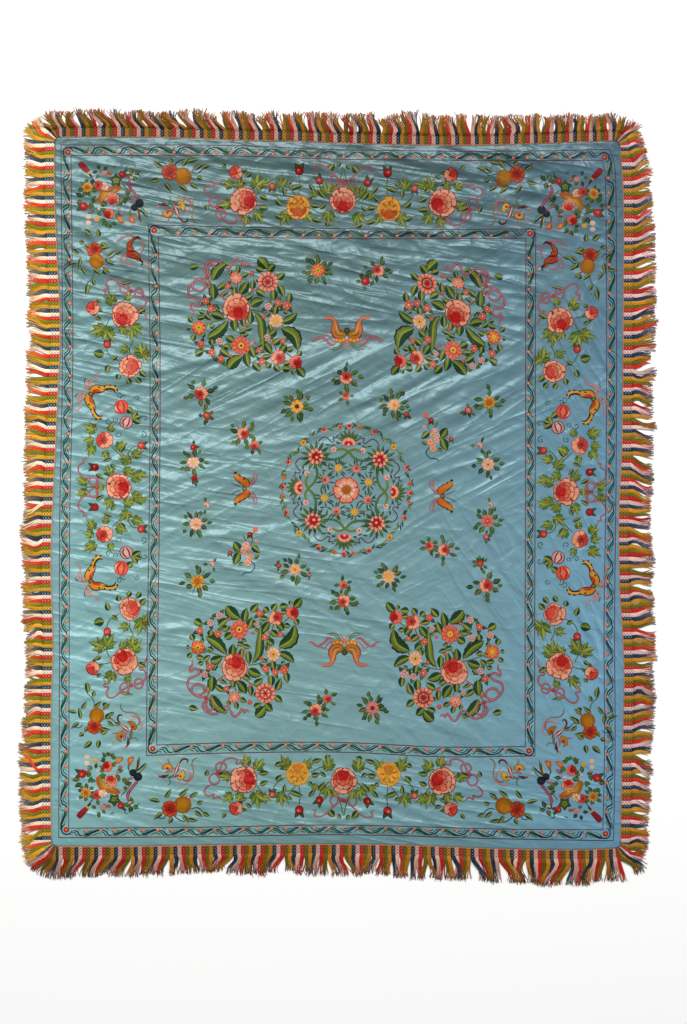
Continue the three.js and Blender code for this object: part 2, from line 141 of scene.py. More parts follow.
# Creases and wrinkles too fine for the solids, in pixels of the photograph: each runs from (px0, py0) to
# (px1, py1), bowed to its left by bow, with its half width and height in mm, below 0 for a trough.
WRINKLES = rows("px0 py0 px1 py1 bow half high", [
    # streaks down to the right in the top band and border
    (150, 139, 188, 151, 0, 7, 2.2), (188, 141, 228, 166, 2, 8, 2.8), (205, 137, 246, 152, 0, 7, 2.0),
    (128, 163, 152, 178, 0, 8, 2.4), (182, 153, 218, 166, 0, 8, 2.2), (188, 202, 218, 217, 0, 8, 2.6),
    (262, 139, 302, 153, 0, 7, 2.4), (288, 149, 345, 163, 0, 7, 2.6), (266, 162, 302, 180, 0, 8, 2.2),
    (345, 152, 380, 161, 0, 6, -2.2), (378, 160, 462, 177, 0, 6, -2.6), (346, 162, 404, 172, 0, 8, 2.4),
    (402, 149, 472, 159, 0, 8, 2.0), (438, 162, 482, 179, 0, 8, 2.8), (498, 153, 544, 173, 0, 8, 2.6),
    (520, 150, 575, 160, 0, 7, 2.0), (545, 158, 612, 179, 4, 7, 3.0), (552, 166, 604, 182, 3, 6, 2.2),
    (475, 198, 550, 190, 0, 5, 2.2), (400, 196, 472, 199, 0, 6, 1.6), (150, 212, 205, 221, 0, 9, 1.8),
    (300, 189, 345, 197, 0, 8, 1.6), (228, 176, 262, 190, 0, 8, 1.8), (330, 209, 372, 214, 0, 8, 1.6),
    # over and under the top of the inner frame
    (148, 234, 200, 243, 0, 10, 2.6), (372, 227, 432, 233, 0, 7, 2.6), (430, 232, 474, 242, 0, 7, 2.0),
    (448, 247, 512, 245, 0, 7, 2.6), (462, 263, 498, 251, 0, 6, 2.0), (508, 264, 522, 258, 0, 6, 1.8),
    (386, 238, 396, 264, 2, 5, 2.0), (397, 237, 412, 264, 3, 5, 2.4), (411, 239, 432, 264, 3, 5, 2.2),
    (424, 240, 446, 258, 3, 5, 1.8), (165, 262, 216, 248, 3, 8, 2.6), (214, 248, 292, 250, 4, 8, 2.4),
    (248, 251, 302, 270, -2, 8, 2.8), (252, 246, 345, 250, 2, 7, 1.8), (345, 249, 368, 277, -3, 6, 2.2),
    (352, 246, 376, 266, 0, 5, 1.8), (156, 253, 190, 262, 0, 6, -1.6),
    # slanting down to the right past the middle of the upper field
    (284, 281, 346, 303, 0, 8, 3.0), (340, 282, 402, 301, 0, 7, 3.2), (290, 297, 345, 314, 0, 7, -2.6),
    (345, 304, 398, 319, 0, 7, 2.2), (294, 320, 402, 322, 1, 4, 2.0), (300, 328, 345, 331, 0, 5, 1.6),
    (300, 268, 345, 284, 0, 8, -1.8), (348, 270, 400, 290, 0, 7, -1.8), (350, 333, 398, 336, 0, 6, 1.5),
    # at the left of the upper left bouquet
    (157, 274, 203, 291, 0, 7, 2.4), (158, 291, 201, 300, 0, 6, -2.0), (158, 304, 206, 317, 0, 7, 2.2),
    (159, 321, 202, 336, 0, 6, -2.6), (159, 332, 206, 346, 0, 8, 2.2), (160, 346, 200, 354, 0, 7, 1.8),
    # the left band
    (58, 237, 92, 259, -2, 7, -3.2), (88, 257, 150, 275, -4, 6, -3.2), (62, 262, 102, 276, 0, 6, -2.0),
    (66, 222, 100, 240, 0, 8, 2.6), (96, 262, 152, 268, 0, 7, 2.2), (60, 284, 96, 294, 0, 7, 1.8),
    (60, 334, 90, 335, 0, 5, -2.4), (74, 344, 147, 346, 2, 5, -2.4), (76, 352, 120, 356, 0, 6, 1.8),
    (74, 360, 110, 366, 0, 5, -2.0), (58, 318, 90, 322, 0, 6, 1.6), (60, 372, 100, 376, 0, 6, 1.6),
    (60, 385, 92, 388, 0, 6, 1.4), (58, 399, 97, 413, 0, 6, -1.8), (60, 428, 100, 431, 0, 6, 1.4),
    (58, 444, 98, 440, 0, 5, -1.8), (56, 462, 84, 464, 0, 5, 1.4), (56, 483, 86, 484, 0, 5, 1.2),
    # the long folds that rise to the right
    (118, 389, 228, 362, 3, 7, -3.8), (156, 374, 222, 356, 0, 7, 2.2), (213, 389, 256, 370, 0, 8, -3.0),
    (258, 395, 332, 358, 0, 8, -2.8), (300, 377, 347, 350, 0, 7, -2.6), (252, 421, 292, 402, 0, 7, -2.4),
    (278, 433, 316, 414, 0, 7, -2.0), (345, 398, 402, 369, 0, 8, -3.2), (343, 416, 380, 405, 2, 8, -2.8),
    (378, 406, 446, 367, -2, 8, -2.8), (388, 431, 432, 406, 0, 9, -3.4), (430, 407, 524, 354, 0, 7, -2.6),
    (452, 432, 472, 421, 0, 7, -2.0), (466, 408, 526, 372, 0, 7, -2.4), (350, 383, 398, 354, 0, 8, 2.2),
    (352, 428, 432, 387, 0, 9, 2.4), (498, 422, 526, 402, 0, 7, 1.8), (480, 440, 526, 418, 0, 7, -1.4),
    (160, 396, 214, 384, 0, 8, 1.6), (166, 410, 204, 411, 1, 6, -1.6), (204, 412, 252, 404, 0, 6, -1.6),
    (440, 352, 500, 336, 0, 8, 1.6), (470, 366, 526, 340, 0, 7, 1.8),
    # straight thin creases that cross them
    (164, 419, 187, 444, 0, 3, -2.0), (148, 424, 172, 449, 0, 3, -1.6), (330, 370, 352, 400, 0, 3, -1.4),
    (344, 371, 373, 407, 0, 3, 1.6), (358, 349, 393, 374, 0, 3, 1.4), (384, 378, 404, 396, 0, 3, -1.2),
    (346, 348, 368, 366, 0, 3, 1.2), (458, 412, 480, 446, 0, 3, 1.4), (468, 410, 492, 440, 0, 3, 1.2),
    (506, 416, 526, 442, 0, 3, 1.2), (312, 384, 326, 410, 0, 3, -1.0), (372, 395, 402, 420, 0, 3, 1.0),
    # the level folds left of the middle and the long wandering one under them
    (150, 452, 226, 456, -3, 7, -3.6), (222, 455, 302, 445, 0, 7, -3.2), (144, 479, 178, 484, -2, 6, -3.0),
    (174, 484, 248, 472, 0, 6, -3.2), (160, 464, 240, 466, -2, 8, 1.6), (148, 505, 202, 496, 0, 5, -3.2),
    (198, 497, 248, 486, 0, 5, -2.8), (70, 524, 152, 507, 0, 7, 1.8), (154, 531, 188, 525, 1, 4, -2.4),
    (186, 525, 238, 534, 0, 4, -3.0), (234, 534, 274, 535, 0, 4, -3.0), (270, 534, 306, 543, 0, 4, -3.2),
    (302, 542, 334, 557, 0, 4, -2.8), (188, 541, 218, 532, 0, 5, 1.8), (164, 555, 184, 562, 0, 4, -2.0),
    (158, 518, 214, 512, 0, 8, 1.4), (250, 500, 258, 528, 0, 3, 1.2), (56, 504, 96, 500, 0, 6, 1.4),
    # lower left, down to the right
    (94, 574, 152, 585, 0, 5, -2.8), (150, 585, 192, 594, 0, 5, -2.8), (160, 573, 190, 583, 0, 5, 1.6),
    (254, 564, 300, 584, 0, 4, -2.6), (254, 579, 302, 597, 0, 4, -2.4), (300, 596, 348, 623, 0, 4, -2.6),
    (299, 544, 348, 570, 2, 5, -2.4), (306, 585, 346, 600, 0, 4, -2.0), (210, 559, 256, 578, 0, 6, 1.8),
    (56, 548, 96, 552, 0, 5, 1.4), (56, 600, 110, 606, 0, 5, 1.2), (56, 633, 96, 637, 0, 5, 1.2),
    (164, 600, 196, 604, 0, 5, 1.4), (162, 611, 188, 616, 0, 5, -1.6), (160, 626, 190, 630, 0, 5, 1.4),
    (162, 640, 184, 645, 0, 5, -1.4), (160, 654, 186, 658, 0, 5, 1.4), (160, 668, 190, 672, 0, 5, -1.2),
    (150, 680, 192, 681, 0, 5, 1.4), (158, 694, 200, 690, 0, 5, -1.6), (98, 707, 146, 700, 0, 6, 1.6),
    (70, 714, 112, 706, 0, 6, -1.2), (152, 718, 240, 712, 2, 7, 1.6), (160, 733, 240, 722, 0, 8, -1.0),
    # around the middle and the lower right
    (344, 562, 386, 546, 0, 4, -2.0), (384, 546, 442, 508, 1, 4, -2.2), (366, 522, 398, 506, 0, 5, 1.2),
    (400, 505, 446, 478, 0, 7, -1.6), (345, 574, 402, 600, 0, 5, -2.0), (352, 588, 388, 604, 0, 4, 1.6),
    (343, 627, 398, 651, 0, 4, -2.6), (345, 640, 374, 652, 0, 4, 1.6), (362, 613, 398, 630, 0, 4, 1.4),
    (348, 672, 402, 682, 0, 5, -1.6), (300, 655, 346, 668, 0, 5, 1.2), (352, 660, 396, 668, 0, 5, 1.2),
    (472, 570, 491, 606, -1, 6, 3.0), (488, 602, 524, 646, -2, 6, 3.0), (498, 572, 516, 608, 0, 5, 2.2),
    (508, 598, 524, 624, 0, 5, 2.0), (458, 556, 474, 576, 0, 5, 1.6), (494, 561, 526, 541, 0, 4, -2.0),
    (446, 545, 502, 518, 0, 5, -1.4), (500, 655, 520, 678, 0, 5, 1.8), (504, 676, 524, 700, 0, 6, 1.6),
    (400, 716, 426, 744, 0, 6, 1.8), (414, 713, 442, 736, 0, 5, -1.6), (454, 713, 492, 746, 0, 5, -2.2),
    (470, 716, 500, 738, 0, 6, 1.6), (268, 706, 288, 740, 0, 5, 1.4), (348, 730, 388, 740, 0, 6, 1.2),
    (300, 726, 342, 738, 0, 6, 1.0), (240, 732, 290, 742, 0, 7, 0.9),
    # the right band
    (574, 268, 590, 281, 0, 4, 2.2), (600, 257, 614, 292, 0, 5, 2.4), (584, 283, 610, 314, 0, 4, 2.4),
    (500, 275, 550, 293, 0, 7, 3.0), (500, 293, 530, 297, 0, 5, 2.0), (499, 309, 532, 319, 0, 6, 2.2),
    (499, 332, 531, 331, 0, 6, 2.0), (540, 318, 560, 352, 0, 5, 1.4), (600, 330, 616, 372, 0, 5, 1.4),
    (536, 380, 556, 384, 0, 6, 1.4), (592, 384, 618, 396, 0, 6, 1.4), (538, 425, 560, 452, 0, 4, 1.4),
    (576, 546, 584, 580, 0, 5, 2.0), (556, 566, 566, 606, 0, 5, 1.6), (596, 556, 604, 600, 0, 5, 1.6),
    (578, 596, 590, 640, 0, 5, 1.8), (604, 500, 618, 540, 0, 5, 1.2), (548, 640, 556, 690, 0, 5, 1.4),
    (596, 650, 604, 700, 0, 5, 1.4), (606, 590, 618, 640, 0, 6, 1.4), (540, 700, 552, 740, 0, 5, 1.2),
    # the bottom band and hem
    (438, 783, 532, 793, 0, 5, 2.0), (455, 792, 545, 803, 0, 5, 2.0), (348, 793, 402, 806, 0, 5, 1.6),
    (430, 770, 480, 776, 0, 5, 1.2), (430, 832, 520, 838, 0, 6, 1.8), (470, 815, 540, 826, 0, 6, 1.6),
    (300, 812, 352, 822, 0, 6, 1.2), (150, 790, 210, 796, 0, 7, 1.2), (100, 820, 170, 823, 0, 7, 1.0),
    (360, 822, 430, 830, 0, 6, 1.4), (545, 812, 600, 838, 0, 6, 1.6), (520, 836, 590, 846, 0, 6, 1.6),
])

# Straight faint creases from storage, along the whole length.
STORAGE_CREASES = rows("px py0 py1 half high", [
    (206, 235, 745, 3.0, -0.5), (344.5, 240, 742, 3.0, -0.7), (483, 150, 330, 3.0, 0.7),
    (497, 200, 745, 3.0, 0.6),
])

# Where the silk is finely wrinkled, in pixels of the photograph: the middle and reach of each zone, the way
# its creases run in degrees clockwise from the right, how far apart and how long they are, and their height
# in mm.
WRINKLED_ZONES = rows("px py wide tall turn apart long high", [
    (140, 185, 110, 45, 9, 10, 60, 4.2), (300, 180, 120, 42, 16, 9, 55, 5.2),
    (470, 180, 120, 42, 11, 9, 55, 4.6), (590, 200, 60, 60, 32, 10, 48, 3.6),
    (110, 270, 60, 60, 20, 10, 55, 5.6), (110, 350, 60, 60, 4, 9, 40, 5.4),
    (110, 440, 60, 60, 0, 9, 38, 4.6), (230, 270, 90, 50, 6, 11, 84, 5.6),
    (345, 285, 80, 55, 17, 11, 79, 5.4), (460, 260, 80, 45, 4, 10, 55, 3.9),
    (480, 310, 60, 40, 8, 10, 43, 2.9), (190, 335, 50, 45, 12, 10, 43, 4.2),
    (250, 385, 100, 40, -24, 12, 91, 4.4), (360, 380, 80, 45, -28, 12, 84, 2.9),
    (460, 390, 90, 55, -28, 11, 79, 2.5), (420, 360, 60, 30, 44, 9, 48, 2.2),
    (200, 460, 90, 45, -3, 11, 79, 4.5), (200, 515, 90, 40, -6, 11, 72, 4.6),
    (110, 530, 60, 60, 4, 9, 38, 3.9), (230, 570, 100, 50, 15, 12, 79, 3.4),
    (330, 610, 80, 50, 24, 12, 72, 3.8), (300, 430, 60, 30, -14, 11, 60, 2.4),
    (390, 560, 70, 50, -20, 12, 65, 1.9), (480, 560, 70, 60, 50, 11, 55, 2.6),
    (480, 480, 60, 40, -34, 12, 60, 2.2), (580, 360, 50, 70, 62, 9, 43, 3.3),
    (580, 500, 50, 70, 76, 9, 43, 3.4), (580, 640, 50, 70, 72, 9, 48, 3.9),
    (110, 650, 60, 70, 0, 9, 40, 3.3), (180, 660, 50, 60, 2, 10, 43, 2.9),
    (120, 720, 70, 40, -8, 11, 55, 2.9), (300, 700, 90, 40, 12, 12, 55, 2.2),
    (440, 710, 90, 40, 34, 11, 55, 2.9), (200, 800, 130, 40, 6, 10, 55, 2.9),
    (400, 800, 130, 40, 12, 10, 48, 3.4), (540, 800, 90, 40, 20, 10, 48, 2.9),
])


LATTICE = 128


def smooth_noise(u, v, seed):
    """Soft noise between -1 and 1 over places whose grain is one unit."""
    lattice = np.random.default_rng(seed).uniform(-1, 1, (LATTICE, LATTICE))
    i, j = np.floor(u).astype(int), np.floor(v).astype(int)
    a, b = u - i, v - j
    a, b = a * a * (3 - 2 * a), b * b * (3 - 2 * b)
    i0, i1, j0, j1 = i % LATTICE, (i + 1) % LATTICE, j % LATTICE, (j + 1) % LATTICE
    return ((lattice[j0, i0] * (1 - a) + lattice[j0, i1] * a) * (1 - b)
            + (lattice[j1, i0] * (1 - a) + lattice[j1, i1] * a) * b)


def tents(along, aside, seed):
    """Long ridges with sharp crests and uneven flanks, in a direction's own units, between about -1 and 1."""
    bent = (aside + 0.9 * smooth_noise(along * 1.1, aside * 0.3, seed)
            + 0.3 * smooth_noise(along * 3.1, aside, seed + 1))
    return 1 - 2.3 * np.abs(smooth_noise(along, bent, seed + 2))


def zone_share(zone, x, y):
    """How much a place belongs to a zone, 1 in its middle and less further out."""
    zx, zy = to_mm(zone["px"], zone["py"])
    wide, tall = zone["wide"] * MM_PER_PIXEL, zone["tall"] * MM_PER_PIXEL
    return np.exp(-2 * ((x - zx) / wide) ** 2 - 2 * ((y - zy) / tall) ** 2)


# The layers of a zone's fine wrinkles: seed, turn from the zone's own, and shares of its size and height.
ZONE_LAYERS = ((0, 0, 1.2, 0.9), (10, 22, 0.7, 0.3), (20, -36, 0.55, 0.16))
PLAIN_WEIGHT = 0.15


def zone_wrinkles(x, y):
    """Fine wrinkles of the zones: long narrow ridges, uneven in length, spacing and height."""
    total, weight = np.zeros_like(x), np.full_like(x, PLAIN_WEIGHT)
    for k, zone in enumerate(WRINKLED_ZONES):
        near = zone_share(zone, x, y)
        layer = np.zeros_like(x)
        for seed, turn, part, high in ZONE_LAYERS:
            way = -math.radians(zone["turn"] + turn)
            along = (x * math.cos(way) + y * math.sin(way)) / (zone["long"] * MM_PER_PIXEL * part)
            aside = (y * math.cos(way) - x * math.sin(way)) / (zone["apart"] * MM_PER_PIXEL * part)
            layer += high * tents(along, aside, 1000 * k + seed)
        total += near * zone["high"] * layer
        weight += near
    return total / weight


def smooth_at(table, at):
    """Smooth values of a two-column table, sorted by its first column, at many places."""
    x, y = table[:, 0], table[:, 1]
    at = np.asarray(at, float)
    slope = np.empty_like(y)
    slope[1:-1] = (y[2:] - y[:-2]) / (x[2:] - x[:-2])
    slope[0] = (y[1] - y[0]) / (x[1] - x[0])
    slope[-1] = (y[-1] - y[-2]) / (x[-1] - x[-2])
    k = np.clip(np.searchsorted(x, at, side="right") - 1, 0, len(x) - 2)
    span = x[k + 1] - x[k]
    t = np.clip((at - x[k]) / span, 0, 1)
    t2, t3 = t * t, t * t * t
    return ((2 * t3 - 3 * t2 + 1) * y[k] + (t3 - 2 * t2 + t) * span * slope[k]
            + (3 * t2 - 2 * t3) * y[k + 1] + (t3 - t2) * span * slope[k + 1])


def smoothstep(x, low, high):
    """A smooth rise from 0 at low to 1 at high."""
    t = np.clip((np.asarray(x, float) - low) / (high - low), 0, 1)
    return t * t * (3 - 2 * t)


def cloth_point(u, v):
    """Points of the silk in mm: u runs from left to right and v from bottom to top."""
    x = CLOTH_MIDDLE[0] + CLOTH_WIDTH * (u - 0.5)
    y = CLOTH_MIDDLE[1] + CLOTH_LENGTH * (v - 0.5)
    left, right = smooth_at(LEFT_EDGE, y), smooth_at(RIGHT_EDGE, y)
    low, high = smooth_at(BOTTOM_EDGE, x), smooth_at(TOP_EDGE, x)
    return left + (right - left) * u, low + (high - low) * v


def ridge(x, y, x0, y0, x1, y1, bow, half, high, runs_out=FOLD_RUNS_OUT):
    """Height of one soft ridge, or of a trough if high is below 0."""
    length = math.hypot(x1 - x0, y1 - y0)
    rx, ry = (x1 - x0) / length, (y1 - y0) / length
    along = ((x - x0) * rx + (y - y0) * ry) / length
    aside = (y - y0) * rx - (x - x0) * ry - bow * 4 * along * (1 - along)
    fade = smoothstep(np.minimum(along, 1 - along) * length, 0, runs_out * half)
    return high * fade * np.exp(-(aside / half) ** 2)


def main_lift(x, y):
    """How far the largest folds lift the silk off the floor, as in the solids."""
    total = np.zeros_like(x)
    for fold in FOLDS:
        total += ridge(x, y, **fold)
    return hem_fade(x, y) * np.maximum(0, total - RESTS_BELOW)


def hem_fade(x, y):
    """A smooth rise from 0 at the silk's edge to 1 inside its flat hem."""
    inside = np.minimum.reduce([
        x - smooth_at(LEFT_EDGE, y), smooth_at(RIGHT_EDGE, y) - x,
        y - smooth_at(BOTTOM_EDGE, x), smooth_at(TOP_EDGE, x) - y,
    ])
    return smoothstep(inside, 0, FLAT_HEM)


WRINKLE_RUNS_OUT = 4.0
CREASE_RUNS_OUT = 20.0
HEM_RELIEF = 0.35
SWELL = 0.45


def fine_relief(x, y):
    """The finer creases and wrinkles, and the slight swell of cloth that has been stored folded."""
    total = np.zeros_like(x)
    for w in WRINKLES:
        x0, y0 = to_mm(w["px0"], w["py0"])
        x1, y1 = to_mm(w["px1"], w["py1"])
        bow = w["bow"] * MM_PER_PIXEL
        total += ridge(x, y, x0, y0, x1, y1, bow, w["half"], w["high"], WRINKLE_RUNS_OUT)
    for c in STORAGE_CREASES:
        cx, low = to_mm(c["px"], c["py1"])
        high = to_mm(c["px"], c["py0"])[1]
        total += ridge(x, y, cx, low, cx, high, 0.0, c["half"], c["high"], CREASE_RUNS_OUT)
    # A slow swell, with its waves in mm uneven so that nothing repeats.
    swell = (np.sin(x / 61.0 + 1.3 * np.sin(y / 83.0)) * np.sin(y / 47.0 + 1.1 * np.sin(x / 97.0))
             + 0.5 * np.sin(x / 23.0 + y / 31.0 + 1.7 * np.sin(y / 53.0)))
    total += zone_wrinkles(x, y)
    fade = hem_fade(x, y)
    return total * (HEM_RELIEF + (1 - HEM_RELIEF) * fade) + SWELL * swell * fade


# How high the silk's face lies in mm: at its hem, at the least, and how much more inside the hem. Then its
# grid's number of steps.
SILK_LEVEL = 2.4
SILK_LEAST = 0.7
SILK_RISE = 1.8
SILK_ACROSS = 264
SILK_ALONG = 328


def silk_grid(across, along):
    """The silk's grid of points in mm, with its corners cut round."""
    u, v = np.meshgrid(np.linspace(0, 1, across + 1), np.linspace(0, 1, along + 1))
    x, y = cloth_point(u, v)
    for j, sy in ((0, 1), (-1, -1)):
        for i, sx in ((0, 1), (-1, -1)):
            cx, cy = x[j, i] + sx * CORNER_RADIUS, y[j, i] + sy * CORNER_RADIUS
            dx, dy = x - cx, y - cy
            near = (sx * dx < 0) & (sy * dy < 0)
            size = np.maximum(np.abs(dx), np.abs(dy)) / np.maximum(np.hypot(dx, dy), 1e-6)
            x, y = np.where(near, cx + dx * size, x), np.where(near, cy + dy * size, y)
    return x, y


class Surface:
    """The silk's face as a grid of heights, and its height at any place, for what lies on it."""

    def __init__(self):
        self.x, self.y = silk_grid(SILK_ACROSS, SILK_ALONG)
        over = main_lift(self.x, self.y) + fine_relief(self.x, self.y) + SILK_LEVEL - SILK_LEAST
        over += SILK_RISE * hem_fade(self.x, self.y)
        self.z = SILK_LEAST + np.where(over > 1, over, np.exp(np.minimum(over, 1) - 1))

    def height(self, x, y):
        """The face's height in mm at places in mm."""
        left, right = smooth_at(LEFT_EDGE, y), smooth_at(RIGHT_EDGE, y)
        low, high = smooth_at(BOTTOM_EDGE, x), smooth_at(TOP_EDGE, x)
        across = np.clip((x - left) / (right - left) * SILK_ACROSS, 0, SILK_ACROSS - 0.001)
        along = np.clip((y - low) / (high - low) * SILK_ALONG, 0, SILK_ALONG - 0.001)
        i, j = across.astype(int), along.astype(int)
        a, b = across - i, along - j
        z = self.z
        return (z[j, i] * (1 - a) * (1 - b) + z[j, i + 1] * a * (1 - b)
                + z[j + 1, i] * (1 - a) * b + z[j + 1, i + 1] * a * b)


surface = Surface()


def new_mesh(name, points, faces, material, tint=None, uv=None):
    """A mesh object from points in mm and arrays of faces with the same number of corners each."""
    mesh = bpy.data.meshes.new(name)
    points = np.asarray(points, float) * MM
    mesh.vertices.add(len(points))
    mesh.vertices.foreach_set("co", points.ravel())
    corners = np.concatenate([f.ravel() for f in faces]).astype(np.int32)
    sizes = np.concatenate([np.full(len(f), f.shape[1]) for f in faces])
    starts = np.concatenate([[0], np.cumsum(sizes)[:-1]]).astype(np.int32)
    mesh.loops.add(len(corners))
    mesh.loops.foreach_set("vertex_index", corners)
    mesh.polygons.add(len(sizes))
    mesh.polygons.foreach_set("loop_start", starts)
    mesh.polygons.foreach_set("use_smooth", np.ones(len(sizes), bool))
    if tint is not None:
        layer = mesh.color_attributes.new("tint", "FLOAT_COLOR", "POINT")
        layer.data.foreach_set("color", np.c_[tint, np.ones(len(tint))].ravel())
    if uv is not None:
        mesh.uv_layers.new(name="stitch").data.foreach_set("uv", np.asarray(uv, float)[corners].ravel())
    mesh.update(calc_edges=True)
    mesh.materials.append(material)
    piece = bpy.data.objects.new(name, mesh)
    bpy.context.scene.collection.objects.link(piece)
    return piece


class Nodes:
    """Short way to build a material's nodes."""

    def __init__(self, name):
        self.material = bpy.data.materials.new(name)
        self.material.use_nodes = True
        self.tree = self.material.node_tree
        self.shader = self.tree.nodes["Principled BSDF"]

    def add(self, kind, **values):
        node = self.tree.nodes.new("ShaderNode" + kind)
        for name, value in values.items():
            if name in node.inputs:
                node.inputs[name].default_value = value
            else:
                setattr(node, name, value)
        return node

    def link(self, out, into):
        self.tree.links.new(out, into)

    def math(self, operation, a, b=0.0):
        node = self.tree.nodes.new("ShaderNodeMath")
        node.operation = operation
        for k, value in enumerate((a, b)):
            if isinstance(value, (int, float)):
                node.inputs[k].default_value = value
            else:
                self.link(value, node.inputs[k])
        return node.outputs[0]


# The ways that the silk's small creases run, in degrees clockwise from the right, and in metres the length
# and the spacing of the facets between them. The first three show where the zones say, by their own turn, and
# the last one evenly.
CREASE_DEPTH = 0.004
CREASE_RUNS = rows("turn long apart", [
    (10, 0.30, 0.034), (-27, 0.28, 0.036), (60, 0.16, 0.03), (40, 0.07, 0.055),
])
CRUMPLE_WEIGHT = 0.3
ZONED_RUNS = 3
RUN_SPREAD = 20.0
LEAST_CREASED = 0.15
FULL_HEIGHT = 5.5
OUTSIDE_WEIGHT = 0.12


def crease_weights(x, y):
    """How strongly each of the zoned runs of small creases shows at places in mm."""
    total, weight = np.zeros(x.shape + (ZONED_RUNS,)), np.full(x.shape, OUTSIDE_WEIGHT)
    for zone in WRINKLED_ZONES:
        near = zone_share(zone, x, y)
        share = np.array([math.exp(-((zone["turn"] - run["turn"]) / RUN_SPREAD) ** 2)
                          for run in CREASE_RUNS[:ZONED_RUNS]])
        total += near[..., None] * (LEAST_CREASED + share) * zone["high"] / FULL_HEIGHT
        weight += near
    return np.clip(total / weight[..., None], 0, 1)


def silk_relief(m, place):
    """The small creases and the weave as bumps."""
    weights = m.add("Attribute", attribute_name="creases", attribute_type="GEOMETRY")
    parts = m.add("SeparateColor")
    m.link(weights.outputs["Color"], parts.inputs[0])
    height = 0.0
    for k, run in enumerate(CREASE_RUNS):
        turned = m.add("Mapping", vector_type="TEXTURE")
        turned.inputs["Rotation"].default_value = (0, 0, -math.radians(run["turn"]))
        turned.inputs["Scale"].default_value = (run["long"], run["apart"], 1.0)
        turned.inputs["Location"].default_value = (0.37 * k, 0.21 * k, 0.0)
        m.link(place, turned.inputs["Vector"])
        crests = m.add("TexNoise", noise_type="RIDGED_MULTIFRACTAL", noise_dimensions="2D", Scale=1.0,
                       Detail=1.0, Roughness=0.55, Lacunarity=2.2, Offset=0.9, Gain=1.6, Distortion=0.35)
        m.link(turned.outputs[0], crests.inputs["Vector"])
        weight = parts.outputs[k] if k < ZONED_RUNS else CRUMPLE_WEIGHT
        height = m.math("ADD", height, m.math("MULTIPLY", crests.outputs["Fac"], weight))
    soft = m.add("Bump", Strength=1.0, Distance=CREASE_DEPTH)
    m.link(height, soft.inputs["Height"])
    weave = m.add("TexNoise", Scale=1100.0, Detail=1.0)
    m.link(place, weave.inputs["Vector"])
    fine = m.add("Bump", Strength=0.15, Distance=0.0006)
    m.link(weave.outputs["Fac"], fine.inputs["Height"])
    m.link(soft.outputs[0], fine.inputs["Normal"])
    m.link(fine.outputs[0], m.shader.inputs["Normal"])


def silk_material():
    """Turquoise satin: a smooth sheen on crumpled facets, a fine weave and faint streaks."""
    m = Nodes("silk_satin")
    place = m.add("TexCoord").outputs["Object"]
    tone = m.add("Attribute", attribute_name="tint", attribute_type="GEOMETRY")
    slub = m.add("Mapping")
    slub.inputs["Scale"].default_value = (12.0, 260.0, 1.0)
    m.link(place, slub.inputs["Vector"])
    streak = m.add("TexNoise", Scale=1.0, Detail=3.0, Roughness=0.6)
    m.link(slub.outputs[0], streak.inputs["Vector"])
    cloud = m.add("TexNoise", Scale=9.0, Detail=4.0, Roughness=0.55)
    m.link(place, cloud.inputs["Vector"])
    vary = m.math("ADD", m.math("MULTIPLY", streak.outputs["Fac"], 0.12),
                  m.math("MULTIPLY", cloud.outputs["Fac"], 0.22))
    shade = m.math("ADD", vary, 0.83)
    colour = m.add("VectorMath", operation="SCALE")
    m.link(tone.outputs["Color"], colour.inputs[0])
    m.link(shade, colour.inputs["Scale"])
    m.link(colour.outputs[0], m.shader.inputs["Base Color"])
    m.shader.inputs["Roughness"].default_value = 0.42
    m.shader.inputs["IOR"].default_value = 1.55
    m.shader.inputs["Specular IOR Level"].default_value = 0.7
    m.shader.inputs["Specular Tint"].default_value = (0.7, 0.94, 1.0, 1)
    m.shader.inputs["Sheen Weight"].default_value = 0.1
    m.shader.inputs["Sheen Roughness"].default_value = 0.4
    silk_relief(m, place)
    return m.material


def floss_material(name, roughness, threads_per_mm, bump):
    """Silk floss in the mesh's own colours, with fine ridges along the thread or stitch."""
    m = Nodes(name)
    tone = m.add("Attribute", attribute_name="tint", attribute_type="GEOMETRY")
    place = m.add("UVMap", uv_map="stitch")
    stretch = m.add("Mapping")
    stretch.inputs["Scale"].default_value = (threads_per_mm, 0.05, 1.0)
    m.link(place.outputs[0], stretch.inputs["Vector"])
    strand = m.add("TexNoise", Scale=1.0, Detail=2.0, Roughness=0.5)
    m.link(stretch.outputs[0], strand.inputs["Vector"])
    shade = m.math("ADD", m.math("MULTIPLY", strand.outputs["Fac"], 0.5), 0.75)
    colour = m.add("VectorMath", operation="SCALE")
    m.link(tone.outputs["Color"], colour.inputs[0])
    m.link(shade, colour.inputs["Scale"])
    m.link(colour.outputs[0], m.shader.inputs["Base Color"])
    m.shader.inputs["Roughness"].default_value = roughness
    m.shader.inputs["Specular IOR Level"].default_value = 0.14
    ridges = m.add("Bump", Strength=bump, Distance=0.0008)
    m.link(strand.outputs["Fac"], ridges.inputs["Height"])
    m.link(ridges.outputs[0], m.shader.inputs["Normal"])
    return m.material


# The colour of the silk in the middle, and what its red, green and blue are multiplied by at each edge as
# painted light and shade: darker at the top in painted shade, paler to the left and bluer to the right in
# painted light.
SILK_COLOUR_AND_PAINTED_LIGHT = {
    "middle": linear("628284"), "top": (0.38, 0.38, 0.37), "bottom": (1.1, 1.15, 1.15),
    "left": (1.4, 1.5, 1.5), "right": (0.8, 1.0, 1.4),
}
# The same painted light and shade for how bright the floss of the embroidery is.
FLOSS_PAINTED_LIGHT = {"middle": 0.8, "top": 0.7, "bottom": 0.85, "left": 1.2, "right": 0.85}


